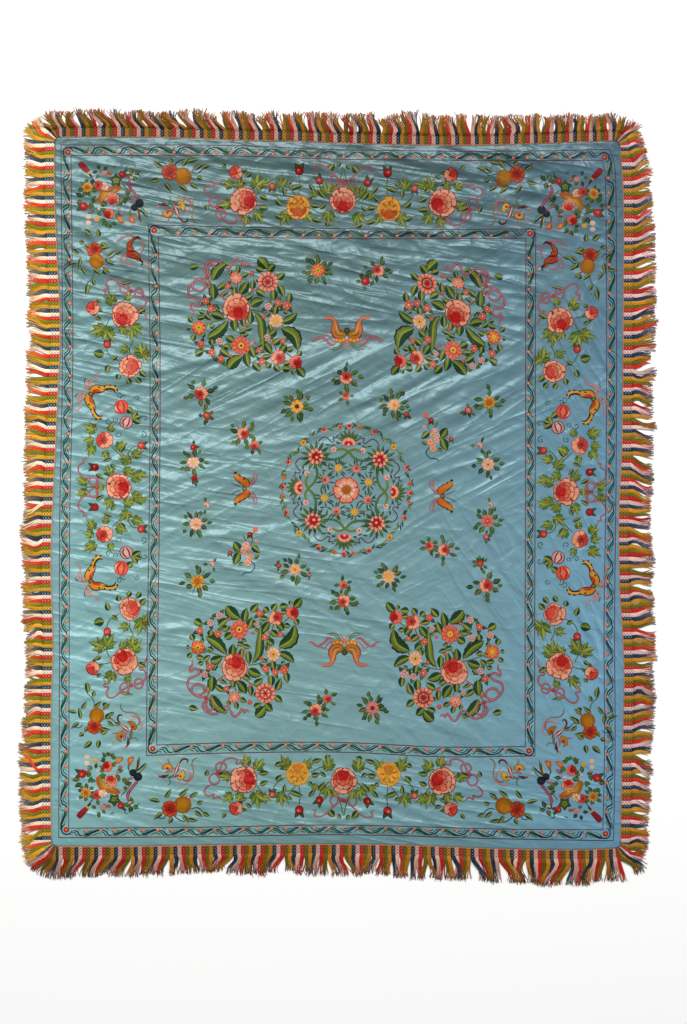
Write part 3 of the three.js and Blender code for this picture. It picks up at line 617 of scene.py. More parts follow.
def tone_with_painted_light(tones, x, y):
    """A tone with painted light and shade that changes smoothly from the middle of the cloth towards its four
    edges, at places in mm.
    """
    right, down = (x - CLOTH_MIDDLE[0]) / (CLOTH_WIDTH / 2), -(y - CLOTH_MIDDLE[1]) / (CLOTH_LENGTH / 2)
    tone = np.array(tones["middle"])
    for way, near, far in ((right, "left", "right"), (down, "top", "bottom")):
        near, far, way = np.log(tones[near]), np.log(tones[far]), way[..., None]
        tone = tone * np.exp(way * (far - near) / 2 + way ** 2 * (far + near) / 2)
    return tone


# The silk's underside has one step of its grid for so many of the face's.
UNDER_STEP = 4


def silk_shell(material):
    """The silk as a thin closed shell: a fine face over its folds and a plainer underside."""
    x, y, z = surface.x, surface.y, surface.z
    low_across, low_along = SILK_ACROSS // UNDER_STEP, SILK_ALONG // UNDER_STEP
    ux, uy = x[::UNDER_STEP, ::UNDER_STEP], y[::UNDER_STEP, ::UNDER_STEP]
    uz = np.maximum(0, main_lift(ux, uy) - 0.5)
    top = np.arange(x.size).reshape(x.shape)
    under = x.size + np.arange(ux.size).reshape(ux.shape)
    quads = [
        np.stack([top[:-1, :-1], top[:-1, 1:], top[1:, 1:], top[1:, :-1]], -1).reshape(-1, 4),
        np.stack([under[:-1, :-1], under[1:, :-1], under[1:, 1:], under[:-1, 1:]], -1).reshape(-1, 4),
    ]
    rim = []
    for k in range(low_across):
        s = slice(k * UNDER_STEP, (k + 1) * UNDER_STEP + 1)
        rim.append([under[0, k], under[0, k + 1], *top[0, s][::-1]])
        rim.append([under[-1, k + 1], under[-1, k], *top[-1, s]])
    for k in range(low_along):
        s = slice(k * UNDER_STEP, (k + 1) * UNDER_STEP + 1)
        rim.append([under[k + 1, 0], under[k, 0], *top[s, 0]])
        rim.append([under[k, -1], under[k + 1, -1], *top[s, -1][::-1]])
    points = np.concatenate([
        np.stack([x, y, z], -1).reshape(-1, 3),
        np.stack([ux, uy, uz], -1).reshape(-1, 3),
    ])
    margin = hem_fade(points[:, 0], points[:, 1])[:, None]
    # The silk's colour with painted light and shade across the cloth, and a little darker towards its edge.
    tint = tone_with_painted_light(SILK_COLOUR_AND_PAINTED_LIGHT, points[:, 0], points[:, 1]) * (0.84 + 0.16 * margin)
    piece = new_mesh("silk_ground", points, quads + [np.array(rim)], material, tint)
    layer = piece.data.color_attributes.new("creases", "FLOAT_COLOR", "POINT")
    weights = crease_weights(points[:, 0], points[:, 1])
    layer.data.foreach_set("color", np.c_[weights, np.ones(len(points))].ravel())
    return piece


# The fringe, clockwise seen from above: the way each run faces in degrees, its number of locks, how much they
# gather into tufts, vary in lean in mm and curl at their tips in mm, how faded the tips are and what the
# colours are multiplied by as painted light and shade, darkest at the top end and brightest on the left.
# Then, along each run from 0 to 1, how far the tips reach from the silk and how far they lean forwards, as
# rows of (along, mm).
RUNS = {
    "top": {
        "facing": 90, "locks": 150, "gather": 0.3, "unrest": 5.0, "warm": 0.35, "curl": 5.5,
        "tone": (0.55, 0.45, 0.4),
        "reach": [(0, 74), (0.12, 70), (0.35, 72), (0.55, 80), (0.8, 75), (1, 72)],
        "lean": [(0, -20), (0.12, -27), (0.35, -22), (0.55, -7), (0.8, 3), (1, 10)],
    },
    "right": {
        "facing": 0, "locks": 195, "gather": 0.35, "unrest": 6.0, "warm": 0.05, "curl": 3.0,
        "tone": (0.82, 0.76, 0.8),
        "reach": [(0, 60), (0.08, 74), (0.25, 84), (0.38, 78), (0.5, 85), (0.75, 82), (0.9, 74), (1, 68)],
        "lean": [(0, -8), (0.08, -12), (0.25, -9), (0.38, 8), (0.5, 12), (0.75, 0), (0.9, 3), (1, 0)],
    },
    "bottom": {
        "facing": -90, "locks": 150, "gather": 0.25, "unrest": 6.5, "warm": 0.05, "curl": 4.0,
        "tone": (0.65, 0.53, 0.48),
        "reach": [(0, 86), (0.12, 92), (0.3, 82), (0.5, 78), (0.72, 71), (0.9, 78), (1, 82)],
        "lean": [(0, -6), (0.12, 4), (0.3, -6), (0.5, 5), (0.72, 8), (0.9, 14), (1, 10)],
    },
    "left": {
        "facing": 180, "locks": 195, "gather": 0.1, "unrest": 3.5, "warm": 0.4, "curl": 3.5,
        "tone": (1.18, 1.26, 1.1),
        "reach": [(0, 78), (0.1, 78), (0.28, 72), (0.42, 78), (0.6, 82), (0.8, 79), (1, 78)],
        "lean": [(0, -8), (0.1, -4), (0.28, 3), (0.42, -4), (0.6, 4), (0.8, 0), (1, 6)],
    },
}

# The five colours of the braid in turn: at the root and the tip of a lock, and in the heading's holes as
# painted shade and on its knots as painted highlights.
BRAID = rows("root tip pit speck", [
    ("16324c", "5a6680", "0b1a28", "8fa4b4"),
    ("c89024", "cc9226", "5a3410", "dcb04a"),
    ("6c6a18", "9c8a28", "2c2c0e", "a09a3c"),
    ("c2201a", "d84c34", "5c100c", "dc8878"),
    ("e6cabc", "e8c2bc", "5a3a36", "f0e2d6"),
])


def edge_walk(facing, s):
    """The silk's edge on one side, walked clockwise from 0 to 1."""
    one, nought = np.ones_like(s), np.zeros_like(s)
    u, v = {90: (s, one), 0: (one, 1 - s), -90: (1 - s, nought), 180: (nought, s)}[facing]
    return np.stack(cloth_point(u, v), -1)


class Run:
    """The line just outside the silk that one run of fringe is sewn along."""

    def __init__(self, facing, turned=math.radians(45)):
        way = math.radians(facing)
        out = np.array([math.cos(way), math.sin(way)])
        forwards = np.array([math.sin(way), -math.cos(way)])
        radius = CORNER_RADIUS + SEAM_GAP
        ends = edge_walk(facing, np.array([0.0, 1.0]))
        margin = CORNER_RADIUS / np.linalg.norm(ends[1] - ends[0])
        first = ends[0] - out * CORNER_RADIUS + forwards * CORNER_RADIUS
        last = ends[1] - out * CORNER_RADIUS - forwards * CORNER_RADIUS
        turn = np.linspace(turned, 0, 12, endpoint=False)
        start = np.stack([np.cos(way + turn), np.sin(way + turn)], -1)
        finish = np.stack([np.cos(way - turn[::-1]), np.sin(way - turn[::-1])], -1)
        straight = edge_walk(facing, np.linspace(margin, 1 - margin, 240)) + out * SEAM_GAP
        self.points = np.concatenate([first + start * radius, straight, last + finish * radius])
        self.outs = np.concatenate([start, np.repeat(out[None], len(straight), 0), finish])
        spread = self.points + self.outs * SPACED_AT
        self.lengths = np.r_[0, np.cumsum(np.linalg.norm(np.diff(spread, axis=0), axis=1))]

    def read(self, share):
        """Points, ways outwards and ways forwards at shares of the run."""
        aim = np.asarray(share) * self.lengths[-1]
        point = np.stack([np.interp(aim, self.lengths, self.points[:, k]) for k in (0, 1)], -1)
        out = np.stack([np.interp(aim, self.lengths, self.outs[:, k]) for k in (0, 1)], -1)
        out /= np.linalg.norm(out, axis=-1, keepdims=True)
        return point, out, np.stack([out[..., 1], -out[..., 0]], -1)


# Steps of the heading's grid across its depth and along each lock, its rows of knots, and its least height
# in mm.
KNOT_ROWS = 12
KNOT_COLUMNS = 6
KNOT_LINES = 3.5
HEADING_WALL = 2.6


def braid_heading(side, run, locks, material):
    """The woven heading of one run: two strands of each lock cross on the way out and leave small holes, and
    the five colours follow in turn."""
    across = locks * KNOT_COLUMNS
    share = np.linspace(0, 1, across + 1)
    depth = np.linspace(0, 1, KNOT_ROWS + 1)
    s, d = np.meshgrid(share, depth)
    point, out, _ = run.read(s)
    phase = s * locks
    spot = np.abs((phase % 1) - 0.5) * 2
    apart = 0.5 - 0.5 * np.cos(2 * np.pi * d * KNOT_LINES)
    holes = np.exp(-(spot / 0.42) ** 2) * apart ** 2 + np.exp(-((1 - spot) / 0.36) ** 2) * (1 - apart) ** 2
    knots = np.exp(-(spot / 0.5) ** 2) * (1 - apart) ** 2
    z = HEADING_WALL + 1.1 * (1 - 0.6 * spot ** 2) + 0.5 * knots - 1.3 * holes
    xy = point + out * (d * HEADING_DEPTH)[..., None]
    which = np.clip(np.floor(phase - 1e-9), 0, locks - 1).astype(int) % len(BRAID)
    roots = np.array([linear(c["root"]) for c in BRAID])[which]
    hole_shades = np.array([linear(c["pit"]) for c in BRAID])[which]
    knot_highlights = np.array([linear(c["speck"]) for c in BRAID])[which]
    uneven = 0.75 + 0.5 * rng.random(across + 1)[None, :, None]
    # Painted shade darkens the holes and painted highlights brighten the knots; the run's painted light and
    # shade then multiplies all.
    deep = np.clip(1.25 * holes, 0, 1)[..., None]
    tint = roots * (1 - deep) + hole_shades * deep
    shine = np.clip(0.9 * knots[..., None] * uneven - 0.15, 0, 1)
    tint = (tint * (1 - shine) + knot_highlights * shine) * np.array(RUNS[side]["tone"])
    top = np.arange(s.size).reshape(s.shape)
    rim = np.concatenate([top[0, :], top[1:, -1], top[-1, -2::-1], top[-2:0:-1, 0]])
    low = s.size + np.arange(len(rim))
    on_floor = np.c_[xy.reshape(-1, 2)[rim], np.zeros(len(rim))]
    points = np.concatenate([np.dstack([xy, z]).reshape(-1, 3), on_floor])
    quads = np.stack([top[:-1, :-1], top[:-1, 1:], top[1:, 1:], top[1:, :-1]], -1).reshape(-1, 4)
    walls = np.stack([low, np.roll(low, -1), np.roll(rim, -1), rim], -1)
    under = floor_strip(low, across, KNOT_ROWS)
    # The walls down to the floor are painted darker, as painted shade.
    tint = np.concatenate([tint.reshape(-1, 3), tint.reshape(-1, 3)[rim] * 0.6])
    flat = np.c_[(s * run.lengths[-1]).ravel(), (d * HEADING_DEPTH).ravel()]
    uv = np.concatenate([flat, flat[rim]])
    return new_mesh(f"heading_{side}", points, [quads, walls, *under], material, tint, uv)


def floor_strip(low, across, down):
    """Faces that close a strip's underside from its rim: quads across, with a fan of the short ends."""
    near = low[:across + 1]
    far = low[across + down:2 * across + down + 1][::-1]
    quads = np.stack([near[:-1], far[:-1], far[1:], near[1:]], -1)
    right = low[across:across + down + 1]
    left = np.r_[low[2 * across + down:], low[:1]]
    return [quads, right[None, :], left[None, :]]


# Threads in a lock, steps along a thread, and in mm its half thickness and how far from the silk it starts.
THREADS = 11
THREAD_STEPS = 5
THREAD_HALF = 1.15
FLOSS_FROM = 23.0
# How many locks make a tuft, the share of locks that stray, and the colour that tips have turned to.
TUFT_SIZES = [2, 2, 3, 3, 4]
STRAY_SHARE = 0.05
FADED_TIP = "dca024"


def thread_tubes(centre):
    """Three-sided tubes that taper along threads: their rings of corners and their faces."""
    t = np.linspace(0, 1, THREAD_STEPS + 1)
    way = np.gradient(centre, axis=1)
    way /= np.linalg.norm(way, axis=-1, keepdims=True)
    side_way = np.stack([way[..., 1], -way[..., 0], np.zeros_like(way[..., 0])], -1)
    side_way /= np.maximum(np.linalg.norm(side_way, axis=-1, keepdims=True), 1e-6)
    up_way = np.cross(side_way, way)
    thick = THREAD_HALF * (1 - 0.45 * t ** 2)[None, :, None]
    corners = [
        centre + thick * (-0.95 * side_way - 0.5 * up_way),
        centre + thick * (0.95 * side_way - 0.5 * up_way),
        centre + thick * 1.05 * up_way,
    ]
    rings = np.stack(corners, 2)
    count = len(centre)
    index = np.arange(count * (THREAD_STEPS + 1) * 3).reshape(count, THREAD_STEPS + 1, 3)
    sides = []
    for k in range(3):
        n = (k + 1) % 3
        sides.append(np.stack([index[:, :-1, k], index[:, :-1, n], index[:, 1:, n], index[:, 1:, k]], -1))
    quads = np.concatenate([q.reshape(-1, 4) for q in sides])
    caps = np.concatenate([index[:, 0, ::-1], index[:, -1, :]])
    return rings, [quads, caps]


def floss_tint(shape, locks):
    """Colours of a run's threads from root to tip, uneven from lock to lock and thread to thread."""
    tt = np.linspace(0, 1, THREAD_STEPS + 1)[None, None, :]
    which = np.arange(locks) % len(BRAID)
    roots = np.array([linear(c["root"]) for c in BRAID])[which]
    tips = np.array([linear(c["tip"]) for c in BRAID])[which]
    # The run's painted light and shade.
    side_painted_light = np.array(shape["tone"])
    tips = tips * (1 - shape["warm"]) + linear(FADED_TIP) * shape["warm"]
    roots, tips = roots * side_painted_light, tips * side_painted_light
    fade = (tt ** 1.5 * rng.uniform(0.35, 1.25, (locks, 1, 1)))[..., None]
    fade = np.clip(fade, 0, 1)
    tone = roots[:, None, None] * (1 - fade) + tips[:, None, None] * fade
    tone = tone * rng.uniform(0.86, 1.14, (locks, THREADS, 1, 1)) * rng.uniform(0.8, 1.15, (locks, 1, 1, 1))
    tone = np.broadcast_to(tone, (locks, THREADS, THREAD_STEPS + 1, 3)).reshape(-1, 3)
    return np.repeat(tone, 3, axis=0)


def floss(side, run, shape, material):
    """The loose floss of one run: every lock is a bundle of threads that sway together, and neighbouring
    locks gather into tufts with uneven tips lying just above the floor."""
    locks = shape["locks"]
    middle = (np.arange(locks) + 0.5) / locks
    spacing = run.lengths[-1] / locks
    t = np.linspace(0, 1, THREAD_STEPS + 1)
    reach = smooth_at(np.array(shape["reach"], float), middle) + rng.normal(0, 2.0, locks)
    lean = smooth_at(np.array(shape["lean"], float), middle)
    order = np.arange(locks)

    def drift(grain, amount):
        """A slow random change along the run."""
        knots = np.arange(0, locks + grain, grain)
        return np.interp(order, knots, rng.normal(0, amount, len(knots)))

    ends = np.cumsum(rng.choice(TUFT_SIZES, locks))
    tuft = np.searchsorted(ends, order, side="right")
    heart = np.array([order[tuft == k].mean() for k in range(tuft.max() + 1)])[tuft]
    inside = smoothstep(np.minimum(middle, 1 - middle) * locks, 3, 9)
    pull = rng.uniform(0.6, 1.3, tuft.max() + 1)[tuft]
    gather = shape["gather"] * inside * (heart - order) * spacing * pull
    tuft_lean = rng.normal(0, shape["unrest"], tuft.max() + 1)[tuft]
    reach += rng.normal(0, 3.0, tuft.max() + 1)[tuft]
    stray = rng.random(locks) < STRAY_SHARE
    lean = lean + drift(6, shape["unrest"]) + tuft_lean + stray * rng.normal(0, 14.0, locks)
    bend = drift(5, 3.6) + rng.normal(0, 1.6, locks)
    shape_of = (locks, THREADS, 1)
    slot_at = np.linspace(-0.5, 0.5, THREADS)[None, :, None] * spacing
    flare = rng.normal(0.55, 0.25, (locks, 1, 1)) + 0.15 * rng.normal(0, 1, shape_of)
    flare = flare + 0.7 * (1 - inside)[:, None, None]
    length = reach[:, None, None] - FLOSS_FROM + rng.normal(0, 2.2, shape_of)
    length = length - 8.0 * rng.random(shape_of) ** 4
    curl = rng.normal(0, shape["curl"], shape_of)
    tt = t[None, None, :]
    sweep = smoothstep(tt, 0.0, 0.85)
    aside = slot_at * (1 - 0.22 * np.sin(np.pi * tt) + flare * tt ** 2)
    aside = aside + (lean + gather)[:, None, None] * sweep + curl * tt ** 3
    aside = aside + bend[:, None, None] * np.sin(1.6 * np.pi * tt)
    depth = FLOSS_FROM + length * tt
    layer = rng.random(shape_of)
    arch = 1 - (2 * slot_at / spacing) ** 2
    z = 1.3 + 1.1 * arch + 0.7 * layer + 2.2 * stray[:, None, None] + 1.0 * rng.random((locks, 1, 1))
    z = z * (1 - 0.5 * tt) + 0.9 * np.sin(np.pi * tt)
    z = np.maximum(z, THREAD_HALF + 0.35)
    share = np.broadcast_to(middle[:, None, None], aside.shape)
    point, out, forwards = run.read(share)
    centre = point + out * depth[..., None] + forwards * aside[..., None]
    centre = np.concatenate([centre, z[..., None]], -1).reshape(-1, THREAD_STEPS + 1, 3)
    rings, faces = thread_tubes(centre)
    tint = floss_tint(shape, locks)
    uv = np.stack([
        np.broadcast_to(np.arange(len(centre))[:, None, None] * 3.0 + np.arange(3), rings.shape[:3]),
        np.broadcast_to((t * 50)[None, :, None], rings.shape[:3]),
    ], -1).reshape(-1, 2)
    return new_mesh(f"floss_{side}", rings.reshape(-1, 3), faces, material, tint, uv)


# Patches lie a hair above each other in turn, in mm, so that no two share a level.
LAYERS = 24
LAYER_STEP = 0.012


class Stitches:
    """Patches of stitching on the silk, gathered into one mesh. Each is drawn in pixels of the photograph."""

    def __init__(self):
        self.places, self.lifts, self.tints, self.threads, self.faces = [], [], [], [], []
        self.count = 0
        self.turn = 0

    def patch(self, xy, lift, tint, thread):
        """Adds a grid of places with its lift off the silk, its colours and the way of its thread, in mm."""
        down, across = xy.shape[:2]
        index = self.count + np.arange(down * across).reshape(down, across)
        quads = np.stack([index[:-1, :-1], index[:-1, 1:], index[1:, 1:], index[1:, :-1]], -1).reshape(-1, 4)
        a, b, c = xy[:-1, :-1], xy[:-1, 1:], xy[1:, :-1]
        area = ((b - a)[..., 0] * (c - a)[..., 1] - (b - a)[..., 1] * (c - a)[..., 0]).sum()
        self.turn = (self.turn + 1) % LAYERS
        self.places.append(xy.reshape(-1, 2))
        self.lifts.append(lift.reshape(-1) + LAYER_STEP * self.turn)
        self.tints.append(tint.reshape(-1, 3))
        self.threads.append(thread.reshape(-1, 2))
        self.faces.append(quads if area < 0 else quads[:, ::-1])
        self.count += down * across

    def mesh(self, name, material):
        """All the patches as one mesh that lies on the silk."""
        px, py = np.concatenate(self.places).T
        x, y = to_mm(px, py)
        z = surface.height(x, y) + np.concatenate(self.lifts)
        # The floss colours are multiplied by painted light and shade across the cloth.
        return new_mesh(
            name, np.stack([x, y, z], -1), [np.concatenate(self.faces)], material,
            np.concatenate(self.tints) * tone_with_painted_light(FLOSS_PAINTED_LIGHT, x, y), np.concatenate(self.threads))


class Pen:
    """Where a motif is drawn: its middle, size, turn in degrees clockwise, and mirroring, in pixels."""

    def __init__(self, stitches, px=0.0, py=0.0, size=1.0, turn=0.0, flip=1, matrix=None):
        self.stitches = stitches
        self.middle = np.array([px, py], float)
        way = math.radians(turn)
        spin = np.array([[math.cos(way), -math.sin(way)], [math.sin(way), math.cos(way)]])
        self.matrix = size * spin @ np.diag([flip, 1.0]) if matrix is None else matrix
        self.scale = math.sqrt(abs(np.linalg.det(self.matrix)))

    def to(self, xy):
        """Places in the motif's own pixels as pixels of the photograph."""
        return np.asarray(xy, float) @ self.matrix.T + self.middle

    def at(self, x, y, size=1.0, turn=0.0, flip=1):
        """A pen for a smaller motif, placed and turned in this one."""
        inner = Pen(self.stitches, size=size, turn=turn, flip=flip)
        place = self.to((x, y))
        return Pen(self.stitches, place[0], place[1], matrix=self.matrix @ inner.matrix)


# Colours of the floss, a little darker than they look in full light.
C = {name: 0.8 * linear(code) for name, code in {
    "leaf_light": "7e922a", "leaf_dark": "20481f", "leaf_edge": "10222a", "leaf_rib": "b6b456",
    "olive": "6e6c22", "grass": "4a7428", "peach": "f6b48e", "salmon": "ea8060", "coral": "e2503c",
    "red": "c81a14", "deep": "780e12", "crimson": "9c2026", "pink": "e89088", "pale": "efc6b0",
    "gold": "f0b440", "honey": "d88a26", "amber": "a2620c", "ochre": "b47018", "orange": "cc5c18",
    "flame": "c4331a", "cream": "ecd8b8", "mauve": "a4708a", "plum": "5c3048", "ribbon": "d0848a",
    "ribbon_edge": "8a2c40", "navy": "16283e", "brown": "4a2016", "black": "1a131a", "teal": "205654",
    "lilac": "b892a8", "purple": "582850", "edging": "d8906a", "sage": "68a078", "peel": "c27c08",
    "fresh": "96a642", "frame": "2a6444", "line": "74304a",
}.items()}


def catmull(points, count):
    """A smooth line through points, as evenly spaced places along it."""
    p = np.asarray(points, float)
    if len(p) == 2:
        return p[0] + (p[1] - p[0]) * np.linspace(0, 1, count)[:, None]
    q = np.concatenate([[2 * p[0] - p[1]], p, [2 * p[-1] - p[-2]]])
    t = np.linspace(0, 1, 9)[:-1, None]
    out = []
    for a, b, c, d in zip(q, q[1:], q[2:], q[3:]):
        out.append(0.5 * (2 * b + (c - a) * t + (2 * a - 5 * b + 4 * c - d) * t ** 2
                          + (3 * b - a - 3 * c + d) * t ** 3))
    line = np.concatenate([*out, p[-1:]])
    way = np.r_[0, np.cumsum(np.linalg.norm(np.diff(line, axis=0), axis=1))]
    aim = np.linspace(0, way[-1], count)
    return np.stack([np.interp(aim, way, line[:, k]) for k in (0, 1)], -1)


def blade(pen, path, half, profile, columns, tints, level, dome=0.35, across=True, steps=None):
    """A filled shape along a path. profile gives its width down the path, columns the places across it from
    -1 to 1, tints the colours at each row and column, and steps the places of the rows on a straight path
    if they are uneven."""
    count = len(profile)
    line = catmull(path, count)
    if steps is not None:
        line = line[0] + (line[-1] - line[0]) * steps[:, None]
    way = np.gradient(line, axis=0)
    way /= np.maximum(np.linalg.norm(way, axis=1, keepdims=True), 1e-6)
    side = np.stack([-way[:, 1], way[:, 0]], -1)
    s = np.asarray(columns, float)
    width = half * np.asarray(profile, float)
    xy = pen.to(line[:, None] + side[:, None] * (width[:, None] * s[None, :])[..., None])
    lift = level + dome * (1 - s[None, :] ** 2) * np.sqrt(width / half)[:, None]
    lift = np.broadcast_to(lift, xy.shape[:2])
    length = np.linalg.norm(np.diff(line, axis=0), axis=1).sum()
    u = (width[:, None] * s[None, :]) * pen.scale * MM_PER_PIXEL
    v = np.broadcast_to((np.linspace(0, length, count) * pen.scale * MM_PER_PIXEL)[:, None], u.shape)
    thread = np.stack([v, u] if across else [u, v], -1)
    pen.stitches.patch(xy, lift, np.broadcast_to(tints, xy.shape[:2] + (3,)), thread)


def mix(a, b, t):
    """A colour between a at 0 and b at 1."""
    t = np.asarray(t, float)[..., None]
    return np.asarray(a) * (1 - t) + np.asarray(b) * t


# From this half width in pixels a petal has a finer rim, and from this width a leaf has more columns.
WIDE_PETAL = 2.2
WIDE_LEAF = 6

LEAF_PROFILE = np.sin(np.pi * np.linspace(0, 1, 7) ** 0.8) ** 0.95
LITTLE_PROFILE = [0.08, 0.8, 1.0, 0.6, 0.03]
LEAF_COLUMNS = [-1, -0.8, -0.68, -0.12, 0.02, 0.14, 0.74, 1]
BIG_LEAF_PROFILE = np.sin(np.pi * np.linspace(0, 1, 13) ** 0.85) ** 0.8


def leaf(pen, x0, y0, x1, y1, width, bow=0.0, level=0.15, light="leaf_light", dark="leaf_dark"):
    """A two-tone leaf from its stem to its tip, light on its left half, with a dark edge and a pale rib."""
    way = np.array([x1 - x0, y1 - y0])
    x0, y0 = np.array([x0, y0]) - way * 0.04
    x1, y1 = np.array([x1, y1]) + way * 0.04
    middle = np.array([x0 + x1, y0 + y1]) / 2 + np.array([way[1], -way[0]]) * bow
    shade = rng.uniform(0.8, 1.2)
    tone = [C["leaf_edge"], C["leaf_edge"], C[light] * 0.6 * shade, C[light] * shade, C["leaf_rib"] * 0.9,
            C[dark] * shade, C[dark] * 0.8 * shade, C["leaf_edge"]]
    big = width > WIDE_LEAF
    columns = LEAF_COLUMNS
    if not big:
        tone, columns = tone[:1] + tone[2:3] + tone[4:6] + tone[6:], [-1, -0.72, -0.02, 0.14, 0.78, 1]
    profile = BIG_LEAF_PROFILE if big else LEAF_PROFILE
    if big:
        profile = profile * (1 + 0.07 * np.cos(np.pi * np.arange(13)))
    blade(pen, [(x0, y0), middle, (x1, y1)], width * 0.66, profile, columns, np.array(tone)[None], level, 0.4)


def little_leaf(pen, x, y, turn, length, width, tint="grass", level=0.15):
    """A small leaf of one colour with a darker side, from its stem in the way of turn."""
    way = math.radians(turn)
    tip = (x + 1.1 * length * math.cos(way), y + 1.1 * length * math.sin(way))
    tone = C[tint] * rng.uniform(0.7, 1.25)
    rib = mix(tone, C["leaf_rib"], 0.15)
    tints = np.array([C["leaf_edge"], tone, rib, tone * 0.45, C["leaf_edge"]])[None]
    blade(pen, [(x, y), tip], width * 0.68, LITTLE_PROFILE, [-1, -0.6, 0, 0.6, 1], tints, level, 0.3)


PETAL_T = np.array([0, 0.35, 0.7, 0.88, 0.92, 1.0])
PETAL_PROFILE = np.array([0.35, 0.74, 1.0, 0.82, 0.74, 0.3])
POINTED_PROFILE = np.array([0.4, 0.9, 0.8, 0.5, 0.4, 0.05])


def petal(pen, x, y, turn, r0, r1, half, inner, outer, edge, level, pointed=False):
    """One petal pointing away from (x, y), shaded along its length, with a fine dark edge."""
    way = math.radians(turn)
    go = np.array([math.cos(way), math.sin(way)])
    base = np.array([x, y])
    body = mix(C[inner], C[outer], PETAL_T ** 0.8) * rng.uniform(0.9, 1.1)
    rim = np.broadcast_to(C[edge], body.shape)
    if half * pen.scale > WIDE_PETAL:
        tints = np.stack([rim, rim, body, body * 1.05, body, rim, rim], 1)
        columns = [-1, -0.8, -0.7, 0, 0.7, 0.8, 1]
    else:
        tints = np.stack([rim, body, body, body, rim], 1)
        columns = [-1, -0.62, 0, 0.62, 1]
    tints[-2:] = rim[0]
    profile = POINTED_PROFILE if pointed else PETAL_PROFILE
    blade(pen, [base + go * r0, base + go * r1], half, profile, columns, tints, level, 0.35, False, PETAL_T)


def disc(pen, x, y, radius, inner, outer, level, dome=0.35, squash=1.0):
    """A round filled shape, shaded from its middle to its rim."""
    turn = np.linspace(0, 2 * np.pi, 13)
    r = np.array([0.02, 0.5, 0.85, 1.0])[:, None] * radius
    xy = pen.to(np.stack([x + r * np.cos(turn), y + r * squash * np.sin(turn)], -1))
    lift = level + dome * np.array([1, 0.8, 0.35, 0])[:, None] + 0 * turn
    tints = np.stack([C[inner], mix(C[inner], C[outer], 0.35), C[outer], C[outer] * 0.8])[:, None]
    thread = np.stack([xy[..., 0], xy[..., 1] * 0.3], -1) * MM_PER_PIXEL
    pen.stitches.patch(xy, lift, np.broadcast_to(tints, xy.shape[:2] + (3,)), thread)


def filled(pen, outline, inner, outer, edge, level, dome=0.5):
    """A filled shape inside a smooth closed outline, with a fine edge of its own colour."""
    ring = catmull([*outline, outline[0]], 3 * len(outline) + 1)
    middle = ring[:-1].mean(0)
    steps = [0.03, 0.55, 0.88, 0.9, 1.0]
    xy = pen.to(np.stack([middle + (ring - middle) * k for k in steps]))
    lift = level + dome * np.array([1, 0.75, 0.3, 0.25, 0])[:, None] + 0 * ring[:, 0]
    tints = np.stack([C[inner], mix(C[inner], C[outer], 0.6), C[outer], C[edge], C[edge]])[:, None]
    thread = np.stack([xy[..., 0], xy[..., 1] * 0.3], -1) * MM_PER_PIXEL
    pen.stitches.patch(xy, lift, np.broadcast_to(tints, xy.shape[:2] + (3,)), thread)


def stroke(pen, path, width, tint, level=0.1, ends=0.35, edge=None, tip=None, steps=None):
    """A line of stitching that tapers at both ends, in one colour or shaded to tip, with painted shade along
    its sides or with edges.
    """
    p = np.asarray(path, float)
    length = np.linalg.norm(np.diff(p, axis=0), axis=1).sum()
    count = steps or int(np.clip(length / 1.6, 4, 60))
    t = np.linspace(0, 1, count)
    taper = min(0.45, 1.5 * width / max(length, 1e-6) + 0.02)
    profile = np.clip(np.minimum(t, 1 - t) / taper, ends, 1)
    body = mix(C[tint], C[tip or tint], t)
    # Without edges of their own colour, the sides are painted darker, as painted shade.
    side = np.broadcast_to(C[edge], body.shape) if edge else body * 0.75
    tints = np.stack([side, side, body, body, side, side] if edge else [side, body, side], 1)
    columns = [-1, -0.44, -0.32, 0.32, 0.44, 1] if edge else [-1, 0, 1]
    blade(pen, path, width / 2, profile, columns, tints, level, 0.3)


def around(count, start=0.0):
    """Turns in degrees, evenly spaced round a circle."""
    return [start + 360.0 * k / count for k in range(count)]


def ray(turn, *radii):
    """Places straight out from the middle in the way of turn."""
    way = math.radians(turn)
    return [(radius * math.cos(way), radius * math.sin(way)) for radius in radii]


def circle_of(radius, count):
    """A closed circle about the middle."""
    return [(radius * math.cos(a), radius * math.sin(a)) for a in np.linspace(0, 2 * math.pi, count)]


def ring_of_petals(pen, x, y, count, r0, r1, half, inner, outer, edge, level, start=0.0, pointed=False):
    """Petals side by side round (x, y), a little uneven in turn and length."""
    for turn in around(count, start):
        petal(pen, x, y, turn + rng.uniform(-3, 3), r0, r1 * rng.uniform(0.95, 1.05), half,
              inner, outer, edge, level, pointed)


